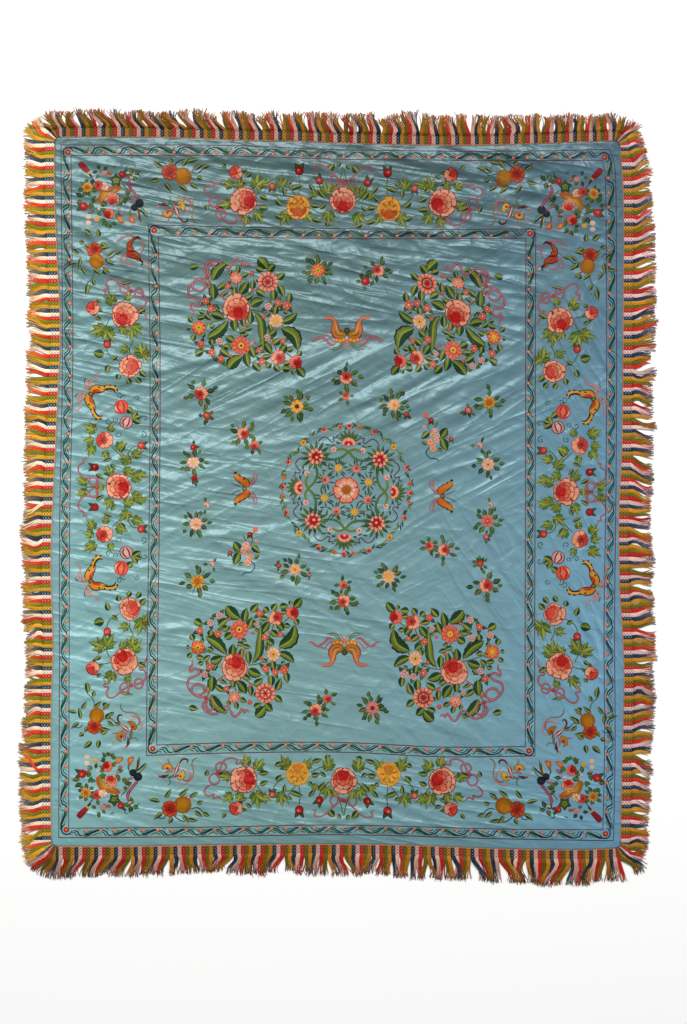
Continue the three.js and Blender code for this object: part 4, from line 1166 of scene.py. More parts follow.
def peony(pen, radius, look=60.0, pale="peach", middle="salmon", warm="coral", hot="red", edge="crimson",
          dark="deep", spill=2.0):
    """A full peony: four rings of petals, each deeper in colour and set further towards look. spill is how
    near to look an outer petal is red too, as a cosine."""
    way = math.radians(look)
    go = np.array([math.cos(way), math.sin(way)]) * radius
    disc(pen, 0, 0, radius * 0.8, middle, edge, 0.3, 0.1)
    for turn in around(9, look + 15):
        red = math.cos(math.radians(turn - look)) > spill
        petal(pen, 0, 0, turn + rng.uniform(-6, 6), radius * 0.3, radius * rng.uniform(0.9, 1.08),
              radius * 0.37, hot if red else middle, warm if red else pale, edge, 0.5)
    x, y = go * 0.1
    for turn in around(8, look + 24):
        near = math.cos(math.radians(turn - look))
        petal(pen, x, y, turn, radius * 0.15, radius * 0.76, radius * 0.29, hot if near > 0 else warm,
              warm if near > 0.2 else middle if near > -0.5 else pale, edge, 0.8)
    x, y = go * 0.22
    for turn in around(7, look + 30):
        near = math.cos(math.radians(turn - look))
        petal(pen, x, y, turn, radius * 0.05, radius * 0.56, radius * 0.24, hot,
              hot if near > 0.3 else warm if near > -0.5 else middle, dark, 1.1)
    x, y = go * 0.34
    for turn in around(5, look):
        petal(pen, x, y, turn, 0, radius * 0.36, radius * 0.18, hot, hot, dark, 1.4)


def yellow_peony(pen, radius, look=90.0, sunny=False):
    """A yellow peony with seven red rays, more golden if sunny."""
    warm, hot, edge, dark = (
        ("gold", "honey", "honey", "orange") if sunny else ("amber", "orange", "orange", "flame"))
    peony(pen, radius, look, "gold", "gold", warm, hot, edge, dark)
    for turn in around(7, look + 120):
        stroke(pen, ray(turn, radius * 0.3, radius * 0.75), 1.0, "flame" if sunny else "red", 1.2)


def ring_flower(pen, radius):
    """A flower with a collar of short petals round a dark ring and a red heart."""
    disc(pen, 0, 0, radius * 0.92, "coral", "coral", 0.3, 0.1)
    ring_of_petals(pen, 0, 0, 13, radius * 0.5, radius, radius * 0.22, "coral", "peach", "red", 0.5)
    disc(pen, 0, 0, radius * 0.64, "salmon", "coral", 0.75, 0.2)
    disc(pen, 0, 0, radius * 0.46, "salmon", "pale", 0.9, 0.1)
    stroke(pen, circle_of(radius * 0.5, 13), radius * 0.11, "brown", 1.0, 1.0)
    ring_of_petals(pen, 0, 0, 6, radius * 0.08, radius * 0.4, radius * 0.16, "red", "coral", "deep", 1.05)
    disc(pen, 0, 0, radius * 0.15, "red", "deep", 1.35, 0.2)


def daisy(pen, radius, petals=9, inner="pale", outer="salmon", edge="coral", heart="gold", dot="brown"):
    """A round flower with its petals side by side and a dotted heart."""
    disc(pen, 0, 0, radius * 0.9, edge, edge, 0.3, 0.1)
    half = radius * 2.5 / petals
    ring_of_petals(pen, 0, 0, petals, radius * 0.2, radius, half, inner, outer, edge, 0.5)
    disc(pen, 0, 0, radius * 0.34, heart, heart, 0.85, 0.3)
    for turn in around(petals, 20):
        stroke(pen, ray(turn, radius * 0.3, radius * 0.55), radius * 0.07, edge, 0.95, steps=3)
    if dot:
        disc(pen, 0, 0, radius * 0.13, dot, dot, 1.2, 0.1)


def rose(pen, radius, look=0.0, outer="peach", middle="salmon", heart="coral", core="red"):
    """A half open rose: pale petals on the far side and a rolled red heart towards look."""
    disc(pen, 0, 0, radius * 0.8, core, "crimson", 0.3, 0.1)
    way = math.radians(look)
    go = np.array([math.cos(way), math.sin(way)]) * radius
    for turn in (95, 140, 180, 220, 265):
        petal(pen, 0, 0, look + turn, radius * 0.1, radius * rng.uniform(0.95, 1.1), radius * 0.38,
              middle, outer, "red", 0.5)
    for turn in (-60, -20, 20, 60):
        petal(pen, 0, 0, look + turn, radius * 0.15, radius * 0.95, radius * 0.32, core, heart, "deep", 0.6)
    x, y = go * 0.15
    ring_of_petals(pen, x, y, 5, radius * 0.05, radius * 0.55, radius * 0.26,
                   "deep", heart, "deep", 0.95, look)
    disc(pen, x, y, radius * 0.22, "red", "deep", 1.3, 0.2)


def rosebud(pen, radius, look=180.0):
    """A bud that opens towards look, red in front with a peach petal behind, and its sepals."""
    little_leaf(pen, 0, 0, look + 150, radius * 1.5, radius * 0.5, "grass", 0.2)
    little_leaf(pen, 0, 0, look - 150, radius * 1.4, radius * 0.5, "leaf_dark", 0.2)
    for turn, tone in ((180, "peach"), (135, "peach"), (225, "salmon"), (60, "coral"), (-60, "coral")):
        petal(pen, 0, 0, look + turn, -radius * 0.1, radius, radius * 0.5, "salmon", tone, "crimson", 0.5)
    for turn in (-25, 25, 0):
        petal(pen, 0, 0, look + turn, -radius * 0.3, radius * 0.95, radius * 0.36,
              "red", "coral", "deep", 0.85)


def bud(pen, radius, tint="coral", edge="deep", look=-90.0):
    """A small round bud with a highlight and two sepals."""
    for turn in (150, 210):
        little_leaf(pen, 0, 0, look + turn, radius * 1.9, radius * 0.7, "leaf_dark", 0.15)
    disc(pen, 0, 0, radius, tint, edge, 0.45, 0.45)
    disc(pen, -radius * 0.2, -radius * 0.15, radius * 0.42, "salmon", tint, 0.95, 0.1)


def blossom(pen, radius, petals=5, inner="coral", outer="pale", edge="red", heart="red"):
    """A small open blossom."""
    half = radius * (2.2 / petals + 0.08)
    start = rng.uniform(0, 90)
    ring_of_petals(pen, 0, 0, petals, radius * 0.1, radius, half, inner, outer, edge, 0.45, start)
    disc(pen, 0, 0, radius * 0.24, heart, heart, 0.85, 0.1)


def star(pen, radius, petals=6, inner="gold", outer="peach", edge="salmon", heart="gold"):
    """A flower of pointed petals in two layers."""
    ring_of_petals(pen, 0, 0, petals, 0, radius, radius * 0.34, inner, outer, edge, 0.45, 10, True)
    between = 10 + 180 / petals
    ring_of_petals(pen, 0, 0, petals, 0, radius * 0.8, radius * 0.25, inner, outer, edge, 0.6, between, True)
    disc(pen, 0, 0, radius * 0.22, heart, "amber", 0.95, 0.2)


def leaf_ring(pen, count, r0, length, width, start=0.0, spread=360.0, tint="grass"):
    """Leaves that point away from a flower, uneven in length and angle."""
    for k in range(count):
        turn = start + spread * (k + 0.5) / count + rng.uniform(-9, 9)
        a = math.radians(turn)
        r = r0 * rng.uniform(0.95, 1.15)
        tone = tint if rng.random() < 0.55 else ("leaf_dark" if rng.random() < 0.6 else "olive")
        little_leaf(pen, r * math.cos(a), r * math.sin(a), turn + rng.uniform(-25, 25),
                    length * rng.uniform(0.75, 1.2), width * rng.uniform(0.85, 1.15), tone)


def lobed(pen, size, turn=-90.0):
    """A peony leaf with seven pointed lobes, greener on one side and yellower on the other."""
    lobes = ((-105, 0.45, "grass"), (105, 0.45, "fresh"), (-70, 0.72, "grass"), (70, 0.7, "olive"),
             (-36, 1.0, "leaf_light"), (36, 1.0, "fresh"), (0, 1.3, "fresh"))
    for side, length, tint in lobes:
        little_leaf(pen, 0, 0, turn + side + rng.uniform(-6, 6), size * length, size * 0.36, tint,
                    0.3 if side == 0 else 0.2)


def bow(pen, loops, tails, knot, width=2.3):
    """A tied ribbon: round loops, a knot and curling tails, pale with darker edges."""
    for x, y, rx, ry in loops:
        a = np.linspace(0, 2 * np.pi, 14)
        loop = np.stack([x + rx * np.cos(a), y + ry * np.sin(a)], -1)
        stroke(pen, loop, width, "ribbon", 0.3, 1.0, "ribbon_edge")
    for tail in tails:
        stroke(pen, tail, width, "ribbon", 0.2, 0.5, "ribbon_edge")
    disc(pen, knot[0], knot[1], 2.0, "coral", "ribbon_edge", 0.7, 0.3)


# The bouquet in the upper left of the field, in pixels of the photograph. The other three mirror it.
BOUQUET_HEART = (236.3, 307.5)
BOUQUET_LEAVES = rows("x0 y0 x1 y1 width bow", [
    (213, 280, 227, 263.5, 8.5, 0.12), (282, 329, 297.5, 350, 10.5, 0.22), (208, 338, 228, 321, 8.5, -0.1),
    (250.5, 306, 263.5, 300.5, 7.5, 0.08), (214, 299, 213, 284, 7.5, 0), (217, 290, 227, 283, 4.8, 0),
    (221, 297, 229, 292, 3.2, 0.1), (235, 298, 235, 287, 5.6, 0), (240, 294, 248, 281.5, 7, -0.06),
    (252.5, 290, 253.5, 279, 4.8, 0), (244, 300, 253, 295.5, 5, 0), (256, 291, 265.5, 297, 5.4, 0.05),
    (274, 300, 274, 288.5, 6, 0), (278.5, 285, 283.5, 297, 5.6, 0.05), (277.5, 279.5, 285, 273, 5.4, 0),
    (268, 272, 275, 264.5, 6.4, 0.05), (256, 268, 264, 271.5, 5, 0), (258, 259, 267.5, 269, 8.5, 0.05),
    (237.5, 273, 239.5, 266, 4, 0), (242, 277, 248.5, 273, 4, 0), (190, 268.5, 199, 266.5, 5, 0.05),
    (289, 303, 290.5, 292.5, 5.4, 0), (275, 315, 277, 304.5, 5, 0), (282, 322.5, 297, 313, 6.5, -0.1),
    (250.5, 324, 251, 311, 5.6, 0), (243, 317, 243.5, 327, 5, 0), (233.5, 319, 235, 331, 6.4, 0),
    (211.5, 314, 224, 318.5, 7, 0.08), (205, 314.5, 211.5, 320, 4.4, 0), (197, 318.5, 206, 317, 4.2, 0),
    (199.5, 311, 205, 313.5, 4, 0), (209, 327.5, 215.5, 325, 4.2, 0), (226.5, 337, 234.5, 342, 6.2, 0),
    (223, 346.5, 232.5, 347, 5.4, 0), (211, 339, 212.5, 346, 5, 0), (195.5, 355.5, 204, 351, 6, 0.05),
    (220, 350, 229.5, 357, 6, 0), (228.5, 369, 242, 357, 9.5, 0.1), (246, 353, 249, 367, 6.2, -0.05),
    (249.5, 346, 254.5, 358, 6, 0), (262, 358, 271, 356, 5, 0), (253, 363, 260.5, 371.5, 5.8, 0),
    (265, 343.5, 271.5, 353.5, 6.2, 0), (273.5, 344.5, 281.5, 338.5, 5.6, 0),
    (280.5, 353, 286.5, 345, 6.2, 0), (287, 350.5, 293.5, 349, 4.4, 0), (270, 335.5, 276.5, 330, 6.2, 0),
    (265.5, 316, 270, 312.5, 3.6, 0), (269, 324, 271.5, 331, 3.8, 0), (283.5, 364, 290, 363, 5, 0),
    (282.5, 369, 291, 370, 5.6, 0.05), (274.5, 365, 279.5, 372, 5.2, 0), (266.5, 368, 271.5, 363, 4.8, 0),
    (298, 356, 301.5, 350.5, 5, 0), (297, 368, 304.5, 377.5, 6.4, 0.05), (293, 370.5, 294, 375, 3.6, 0),
    (188.5, 317.5, 193, 322.5, 4, 0), (192, 341, 195, 334.5, 5, 0), (203.5, 322.5, 207.5, 327, 3.8, 0),
    (202, 337, 205, 333, 3.6, 0), (187, 328.5, 191, 328, 3.4, 0), (239, 332.5, 247, 330, 4, 0),
    (245, 330, 253, 328, 4, 0.05), (243, 336, 249, 334, 3, 0), (229, 275, 232, 270, 3.4, 0),
    (240, 285.5, 244, 282.5, 3, 0), (224, 262, 230, 266, 3.4, 0), (219, 311, 215, 305, 3, 0),
    (256, 279, 260, 283, 3, 0), (284, 311, 288, 314, 3.2, 0), (257, 347, 262, 343, 3, 0),
    (231, 350, 228, 345, 3, 0),
])
BOUQUET_BLOSSOMS = rows("px py radius long turn", [
    (206, 301, 3.2, 3.6, -20), (211, 308.5, 3.0, 4.4, -10), (228, 286.5, 2.8, 3.2, -40),
    (252, 273, 2.0, 2.6, -80), (252.5, 290, 1.5, 1.6, 0), (268, 306.5, 3.4, 4.2, 60),
    (278, 303, 3.2, 3.8, 10), (287, 305.5, 2.9, 5.8, 90), (263.5, 317, 1.8, 1.9, 0),
    (267, 338, 2.9, 4.4, 60), (283, 341, 2.6, 3.0, 40), (259, 351, 2.7, 3.0, 0), (262, 362, 2.9, 4.2, 60),
    (201, 344.5, 2.5, 4.8, 85), (219.5, 341.5, 2.9, 4.6, -35), (212, 352.5, 3.4, 4.0, -30),
    (221, 359.5, 3.2, 4.2, 5), (255, 342.5, 1.4, 1.6, 0), (231, 356, 1.5, 1.8, 0), (272, 343, 1.2, 1.6, 0),
    (222, 296, 1.4, 1.8, 30), (209, 284, 1.6, 2.2, 0), (246, 325, 1.4, 1.8, 0),
])
BOUQUET_STEMS = [
    [(208, 278), (216, 292), (226, 300)], [(236, 320), (240, 330), (241, 338)],
    [(250, 310), (262, 312), (272, 318)], [(254, 312), (268, 330), (277, 352)],
    [(246, 296), (256, 290), (262, 287)], [(228, 318), (214, 322), (204, 326)],
    [(282, 350), (290, 356), (293, 360)], [(284, 328), (281, 324), (278, 322)],
    [(216, 342), (224, 346), (233, 346)], [(206, 282), (209, 290), (211, 300), (208, 304)],
    [(238, 283), (237, 290), (236, 296)],
]
BOUQUET_RIBBON = {
    "loops": [(211.3, 270.8, 4.0, 6.0), (199.0, 285.6, 6.6, 5.6)],
    "tails": [
        [(208, 277), (204, 270), (207, 264), (213, 261.5), (219, 262), (223, 266), (229, 269),
         (232.5, 264), (235, 259.5), (238, 259), (241.5, 262.5), (244, 266.5), (246.5, 262.5),
         (249, 265.5), (251.5, 262.5)],
        [(207, 278), (199, 279), (192, 284), (188.5, 290), (190, 296.5), (196, 299), (200.5, 302),
         (199.5, 306), (195, 306.5), (191.5, 303.5), (191, 308), (193.5, 311), (193, 315.5)],
    ],
    "knot": (207.2, 277.6),
}


def bouquet(pen):
    """A fan of flowers and leaves tied with a ribbon, drawn about its peony."""
    hx, hy = BOUQUET_HEART
    local = pen.at(-hx, -hy)
    bow(local, **BOUQUET_RIBBON)
    for path in BOUQUET_STEMS:
        stroke(local, path, 1.1, "olive", 0.1)
    stroke(local, [(255, 312), (261.5, 322), (263.5, 335), (263.5, 352)], 1.0, "leaf_edge", 0.15)
    big = [(254.5, 312), (261, 321), (262.5, 333), (263.5, 351)]
    tone = np.array([C[name] for name in ("leaf_edge", "leaf_dark", "leaf_dark", "grass", "leaf_rib",
                                          "leaf_light", "olive", "leaf_edge")])[None]
    blade(local, big, 4.4, BIG_LEAF_PROFILE, LEAF_COLUMNS, tone, 0.25, 0.5)
    for row in BOUQUET_LEAVES:
        leaf(local, **row)
    for row in BOUQUET_BLOSSOMS:
        spot = local.at(row["px"], row["py"], 1, row["turn"])
        if row["radius"] > 2.3:
            size = (row["radius"] + row["long"]) / 2
            out = math.atan2(row["py"] - 310, row["px"] - 245) * 180 / math.pi - row["turn"]
            for side in (-60, 60, 150):
                little_leaf(spot, 0, 0, out + side, size * 2.0, size * 0.8,
                            "leaf_dark" if side > 0 else "grass")
            warm = rng.random() < 0.7
            blossom(spot, size, 5, "red" if warm else "crimson", "salmon" if warm else "pale",
                    "crimson" if warm else "mauve", "pale")
        else:
            disc(spot, 0, 0, row["radius"] * 1.15, "salmon", "red", 0.5, 0.4)
    ring_flower(local.at(267.9, 282), 10.3)
    daisy(local.at(236, 278), 6.0, 8, "peach", "salmon", "red", "peach")
    daisy(local.at(276, 321), 7.2, 9, "gold", "pale", "salmon", "gold")
    daisy(local.at(199, 327.8), 7.2, 8, "gold", "coral", "red", "gold")
    daisy(local.at(241.2, 345.7), 9.4, 11, "coral", "salmon", "red", "gold")
    rose(local.at(278.6, 357.5), 7.4, 30)
    rose(local.at(295.8, 362.5), 6.6, 10, "salmon", "coral", "red", "red")
    peony(local.at(236.3, 307.5), 13.8, 65, spill=0.6)


# Small separate flowers of the field, in pixels of the photograph. turn places their leaves.
SPRIGS = rows("kind px py radius leaves turn", [
    ("daisy_red", 318, 270.5, 6.8, 14, 0), ("rose", 378, 270.5, 6.0, 8, 20),
    ("bud", 365.5, 281.5, 4.4, 5, 60), ("rose", 346, 378, 6.4, 9, 0), ("rosebud", 346, 396, 3.9, 5, 40),
    ("yellow", 297, 406.5, 6.8, 14, 0), ("star", 394, 405, 6.6, 12, 0),
    ("bud_orange", 406.5, 414.5, 2.8, 3, 0), ("rose", 201, 393.5, 6.8, 8, 70),
    ("bud_orange", 207, 415.5, 4.0, 5, 0), ("rose", 243.5, 433.5, 6.2, 9, 45),
    ("rosebud", 254.5, 445.5, 4.6, 5, 0), ("gold", 489, 402.5, 6.6, 9, 0),
    ("bud_pink", 468.3, 410.5, 3.8, 3, 90), ("pale", 193.5, 462.5, 6.2, 10, 0),
    ("bud", 193.5, 447.5, 3.2, 2, 0), ("bud", 194.5, 478.5, 3.2, 2, 180), ("pink", 488, 464.5, 6.4, 9, 0),
    ("half", 479, 446, 4.0, 3, 0), ("pink", 196, 524, 6.4, 10, 0), ("half", 206, 506, 4.0, 2, 0),
    ("five", 487.5, 521, 6.4, 11, 0), ("half", 490, 505, 3.2, 2, 0), ("bud_pink", 486, 537, 3.0, 2, 0),
    ("rose", 444, 550, 6.0, 9, 0), ("rosebud", 429.5, 546, 4.4, 6, 0), ("gold", 197.5, 581.5, 7.0, 9, 0),
    ("half", 211.5, 564.5, 3.6, 3, 0), ("star", 295, 569.5, 6.4, 11, 0),
    ("bud_orange", 279, 565.5, 2.6, 2, 0), ("bud_pink", 309.5, 575, 2.0, 2, 0),
    ("orange", 388.5, 576.5, 6.4, 13, 0), ("rose", 486, 585.5, 7.0, 9, 0),
    ("bud_orange", 480, 563.5, 3.6, 6, 0), ("rose", 343.5, 601, 6.4, 10, 0),
    ("rosebud", 343.5, 585, 4.0, 5, 0), ("rose", 315.5, 710, 6.2, 10, 0),
    ("rosebud", 327.5, 698.5, 4.4, 5, 0), ("five_purple", 372.5, 708, 6.4, 12, 0),
])


def sprig(stitches, kind, px, py, radius, leaves, turn):
    """One small flower of the field with its leaves."""
    pen = Pen(stitches, px, py)
    if radius > 5:
        leaf_ring(pen, max(4, leaves * 3 // 4), radius * 0.85, radius * 1.2, radius * 0.52, turn)
        leaf_ring(pen, max(3, leaves // 2), radius * 1.6, radius * 0.85, radius * 0.46, turn + 40)
        for a in around(4, turn + 20):
            stroke(pen, ray(a + rng.uniform(-15, 15), radius * 0.7, radius * 1.9), 0.7, "grass")
    else:
        leaf_ring(pen, leaves, radius * 0.9, radius * 1.3, radius * 0.6, turn)
    look = rng.uniform(0, 360)
    if kind == "rose":
        rose(pen, radius, look, "peach", "salmon", "coral", "red")
    elif kind == "rosebud":
        rose(pen, radius, look, "salmon", "coral", "coral", "red")
    elif kind == "half":
        for a in (-70, -35, 0, 35, 70):
            petal(pen, 0, 0, a - 45, 0, radius, radius * 0.34, "cream", "pink", "crimson", 0.5)
        disc(pen, 0, 0, radius * 0.3, "gold", "crimson", 0.9, 0.1)
    elif kind.startswith("bud"):
        tint = {"bud": "red", "bud_orange": "orange", "bud_pink": "pink"}[kind]
        bud(pen, radius, tint, "crimson", look)
    elif kind == "star":
        star(pen, radius)
    elif kind == "five":
        ring_of_petals(pen, 0, 0, 6, 0.5, radius, radius * 0.4, "red", "pink", "coral", 0.45)
        disc(pen, 0, 0, radius * 0.3, "gold", "red", 0.9, 0.2)
    elif kind == "five_purple":
        daisy(pen, radius, 8, "pink", "salmon", "coral", "plum", None)
    else:
        inner, outer, edge, heart, dot = {
            "daisy_red": ("gold", "coral", "red", "gold", "brown"),
            "yellow": ("gold", "gold", "orange", "brown", "red"),
            "gold": ("amber", "gold", "amber", "orange", None),
            "pale": ("pale", "pale", "salmon", "gold", None),
            "pink": ("peach", "pale", "salmon", "gold", "brown"),
            "orange": ("gold", "peach", "salmon", "gold", "brown"),
        }[kind]
        daisy(pen, radius, 8, inner, outer, edge, heart, dot)


def apple_branch(pen):
    """A hanging chain of apple blossom with two dark leaves, a bud and a small fruit."""
    stroke(pen, [(3, 8), (8.4, 13.5), (8.4, 17.3), (4.5, 21.2), (-1, 21.8), (-4.3, 24.5)], 1.1, "teal", 0.1)
    stroke(pen, [(1, -8), (-1, -12), (-3, -16)], 1.4, "grass", 0.1)
    stroke(pen, [(3, -3), (6.7, -10), (6, -16), (9, -20)], 0.8, "olive", 0.1)
    stroke(pen, [(-15, 2), (-8, 0.5), (-2, 2)], 0.8, "olive", 0.1)
    for place in ((-6, 0, -12, -9, 6.6), (-7, 1.5, -11.8, 13.5, 6.6), (5.8, -5.2, 13.8, 1.6, 5.2),
                  (8, 7.6, 13.4, 4, 2.8), (-2.6, 11.4, -7.6, 14.4, 2.8)):
        leaf(pen, *place)
    for x, y in ((0, -6.8), (-2.7, -1), (2.4, -2.2), (-1.4, 3.1), (4.8, 4.8), (2.8, 8.4), (2, 12)):
        blossom(pen.at(x, y), rng.uniform(2.4, 3.2), 4, "salmon", "pale" if x < 2 else "peach",
                "salmon", "honey")
    blossom(pen.at(9.5, -21.6), 2.8, 4, "coral", "salmon", "orange", "honey")
    blossom(pen.at(10.7, -9.9), 1.8, 4, "salmon", "pale", "salmon", "coral")
    bud(pen.at(4, -16.6), 2.7, "red", "deep")
    bud(pen.at(-16, 1.8), 2.3, "orange", "crimson")


def wing(pen, path, half, widths, inner, outer, edge, level=0.35):
    """A wing along a path from the body, with its width at even steps and an edge of its own colour."""
    count = 15
    profile = np.interp(np.linspace(0, 1, count), np.linspace(0, 1, len(widths)), widths)
    body = mix(C[inner], C[outer], np.linspace(0, 1, count))
    rim = np.broadcast_to(C[edge], body.shape)
    tints = np.stack([rim, rim, body, body, body, rim, rim], 1)
    blade(pen, path, half, profile, [-1, -0.8, -0.7, 0, 0.7, 0.8, 1], tints, level, 0.45)


def half_turned(pen, side):
    """A pen for the lower or upper half of a motif that is alike above and below its axis."""
    half = Pen(pen.stitches, matrix=pen.matrix @ np.diag([1.0, side]))
    half.middle = pen.middle
    return half


def tailed_butterfly(pen):
    """A pink butterfly with a green body, hooked upper wings and long ribbons behind."""
    for side in (1, -1):
        half = pen.at(0, 0, 1, 0, side)
        stroke(half, [(11, 11), (16, 12), (21, 7), (27, 4), (33, 8), (37, 7)], 2.3,
               "ribbon", 0.15, 0.2, "crimson")
        stroke(half, [(5, 7), (10, 9), (16, 7), (20, 2), (27, 5)], 1.1, "ribbon", 0.2, 0.3, "ribbon_edge")
        stroke(half, [(3, 9), (6, 14), (11, 17), (18, 16)], 1.2, "olive", 0.15)
        stroke(half, [(4, 8), (9, 14), (15, 15)], 1.0, "grass", 0.12)
        stroke(half, [(1.5, 6), (1, 11), (5, 16)], 1.0, "coral", 0.15)
        stroke(half, [(0.5, 5), (-0.5, 9), (1.5, 13)], 0.7, "pink", 0.15)
        wing(half, [(2, 1), (8, 2), (12, -3), (11.5, -9), (15, -14.5), (23, -15)], 5.4,
             [0.6, 1.0, 1.0, 0.6, 0.36, 0.3, 0.2], "ochre", "salmon", "crimson", 0.4)
        stroke(half, [(4, 1), (9, 0), (10.5, -6), (13, -11)], 1.3, "gold", 1.0, 0.2)
        stroke(half, [(5, 2.5), (10, 2), (12, -2)], 0.9, "olive", 1.1, 0.2)
        for x, y in ((3.5, 7), (7, 8), (10.5, 7)):
            disc(half, x, y, 2.3, "gold", "orange", 0.5, 0.3)
    disc(pen, 0, -2.2, 2.9, "olive", "leaf_edge", 0.95, 0.4)
    disc(pen, 0, 1.8, 1.6, "leaf_light", "leaf_edge", 0.95, 0.2)


def side_butterfly(pen):
    """An orange butterfly seen from the side, wings up and down to the left and feelers to the right."""
    for side in (1, -1):
        half = half_turned(pen, side)
        wing(half, [(2.4, 1), (1, 6), (-4.5, 9), (-9.5, 13.5)], 4.2, [0.5, 0.95, 0.8, 0.9, 0.75, 0.7, 0.3],
             "orange", "honey", "brown", 0.4)
        for x, y in ((3.4, 5.4), (-0.4, 9.6), (-4.8, 12), (-8.6, 14.6)):
            disc(half, x, y, 1.5, "brown", "brown", 0.3, 0.3)
        stroke(half, [(0, 3), (-3, 5), (-6, 8)], 1.3, "orange", 0.95)
        stroke(half, [(3, 1), (6, 4), (9, 8), (9.5, 16)], 1.3, "pink", 0.2, 0.3, "crimson")
        stroke(half, [(3, 2), (8, 4), (11.5, 9), (12, 15)], 1.0, "ribbon", 0.15, 0.3, "ribbon_edge")
        stroke(half, [(2, 3), (4, 8), (5, 11)], 0.8, "crimson", 0.15)
        stroke(half, [(3, 3), (7, 8), (8, 12)], 0.7, "olive", 0.15)
        stroke(half, [(-2, 1), (-8, 3), (-13, 6)], 0.7, "plum", 0.12)
    disc(pen, 0, 0, 2.2, "leaf_light", "leaf_edge", 0.8, 0.3, 1.2)


def hooked_butterfly(pen):
    """The yellow butterfly of the side bands: two long hooked wings with dark edges, and pink feelers."""
    for side in (1, -1):
        half = half_turned(pen, side)
        wing(half, [(-1, 1.5), (1, 6.5), (7.5, 10.5), (13, 16), (19, 18), (22.5, 15)], 4.8,
             [0.7, 1, 0.95, 0.6, 0.42, 0.4, 0.2], "honey", "gold", "brown", 0.4)
        wing(half, [(1, 2.5), (4, 6), (8, 8)], 2.2, [0.7, 1, 0.7, 0.2], "red", "orange", "brown", 0.7)
        stroke(half, [(9, 10.5), (13.5, 14.2), (19, 16), (22.5, 13.5)], 1.5, "black", 0.9, 0.4)
        for x, y in ((4, 10.5), (8.5, 14), (13, 18), (18, 20), (22, 17.4)):
            disc(half, x, y, 1.0, "black", "brown", 1.0, 0.1)
        for path in ([(-3, 2), (-7, 5), (-7, 11), (-3, 17), (-4, 24)], [(-3, 1), (-9, 4), (-11, 9), (-7, 15)],
                     [(-3, 3), (-5, 8), (-8, 13)]):
            stroke(half, path, 1.6, "pale", 0.2, 0.3, "crimson")
        stroke(half, [(-5, 3), (-12, 7), (-13, 12)], 0.9, "teal", 0.15)
    disc(pen, 0, 0, 2.8, "leaf_light", "leaf_edge", 0.8, 0.4)


def fancy_butterfly(pen, near="gold", far="honey"):
    """A small butterfly of many colours seen from the side, in a tangle of curled ribbons."""
    pen = pen.at(0, 0, 1.15)
    filled(pen, [(-0.3, -5.5), (3, -7.3), (6.2, -5), (7.6, -1.6), (6.2, 2.4), (3.4, -0.4), (0.8, -1.8)],
           near, near, "brown", 0.35)
    filled(pen, [(-12.8, 4.8), (-8.4, 5.2), (-3.2, 3.6), (-3, 7.2), (-7.2, 10.2), (-11.6, 9)],
           near, far, "brown", 0.35)
    stroke(pen, [(-2.6, -2), (-0.4, 2), (1.4, 5.4), (3.4, 8.4)], 4.2, "pale", 0.6, 0.4, "crimson")
    stroke(pen, [(-11, 1.6), (-7.5, 3), (-3, 1.4)], 2.6, "pink", 0.5, 0.4, "crimson")
    stroke(pen, [(-17, -0.6), (-12, -1.6), (-7.6, -0.4)], 3.0, "crimson", 0.7, 0.3, "black")
    stroke(pen, [(-9.4, -2.6), (-6, -3), (-3, -1.4)], 2.6, "leaf_light", 0.8, 0.4, "teal")
    stroke(pen, [(-3.6, -4), (-1, -2.6), (1.8, -2.6)], 1.8, "red", 0.85)
    disc(pen, 2.8, -3.4, 1.1, "red", "brown", 0.95, 0.2)
    disc(pen, -8, 5.8, 1.2, "red", "brown", 0.95, 0.2)
    stroke(pen, [(3, 7.6), (6, 11.2), (9.2, 11.8), (11.8, 9.8), (10, 7.8)], 1.6,
           "crimson", 0.4, 0.3, tip="black")
    stroke(pen, [(-0.2, -7.4), (1.6, -10), (5, -11.4), (9.4, -9.4), (13.6, -6), (15.4, -0.5), (14.6, 5.8),
                 (17, 10.2), (21, 11.4)], 1.1, "pink", 0.25, 0.3, tip="olive")
    stroke(pen, [(4.6, -6.8), (6.2, -8.4), (10.6, -7.4), (12.4, -3), (11, 1)], 1.3,
           "crimson", 0.3, 0.3, tip="pink")
    stroke(pen, [(7.4, -1), (10.4, 1.4), (9.4, 5)], 1.0, "pink", 0.25)
    stroke(pen, [(-19.4, 2), (-15.4, 0.4)], 1.8, "pink", 0.2)
    stroke(pen, [(-12.6, 9.6), (-14.2, 12.4), (-17, 12)], 1.1, "pink", 0.2)
    stroke(pen, [(-5, 9.4), (-6.6, 13.4), (-4.6, 15)], 1.3, "crimson", 0.2, 0.3, tip="pink")
    stroke(pen, [(-8, -3.4), (-7, -8), (-10, -10)], 0.8, "olive", 0.2)


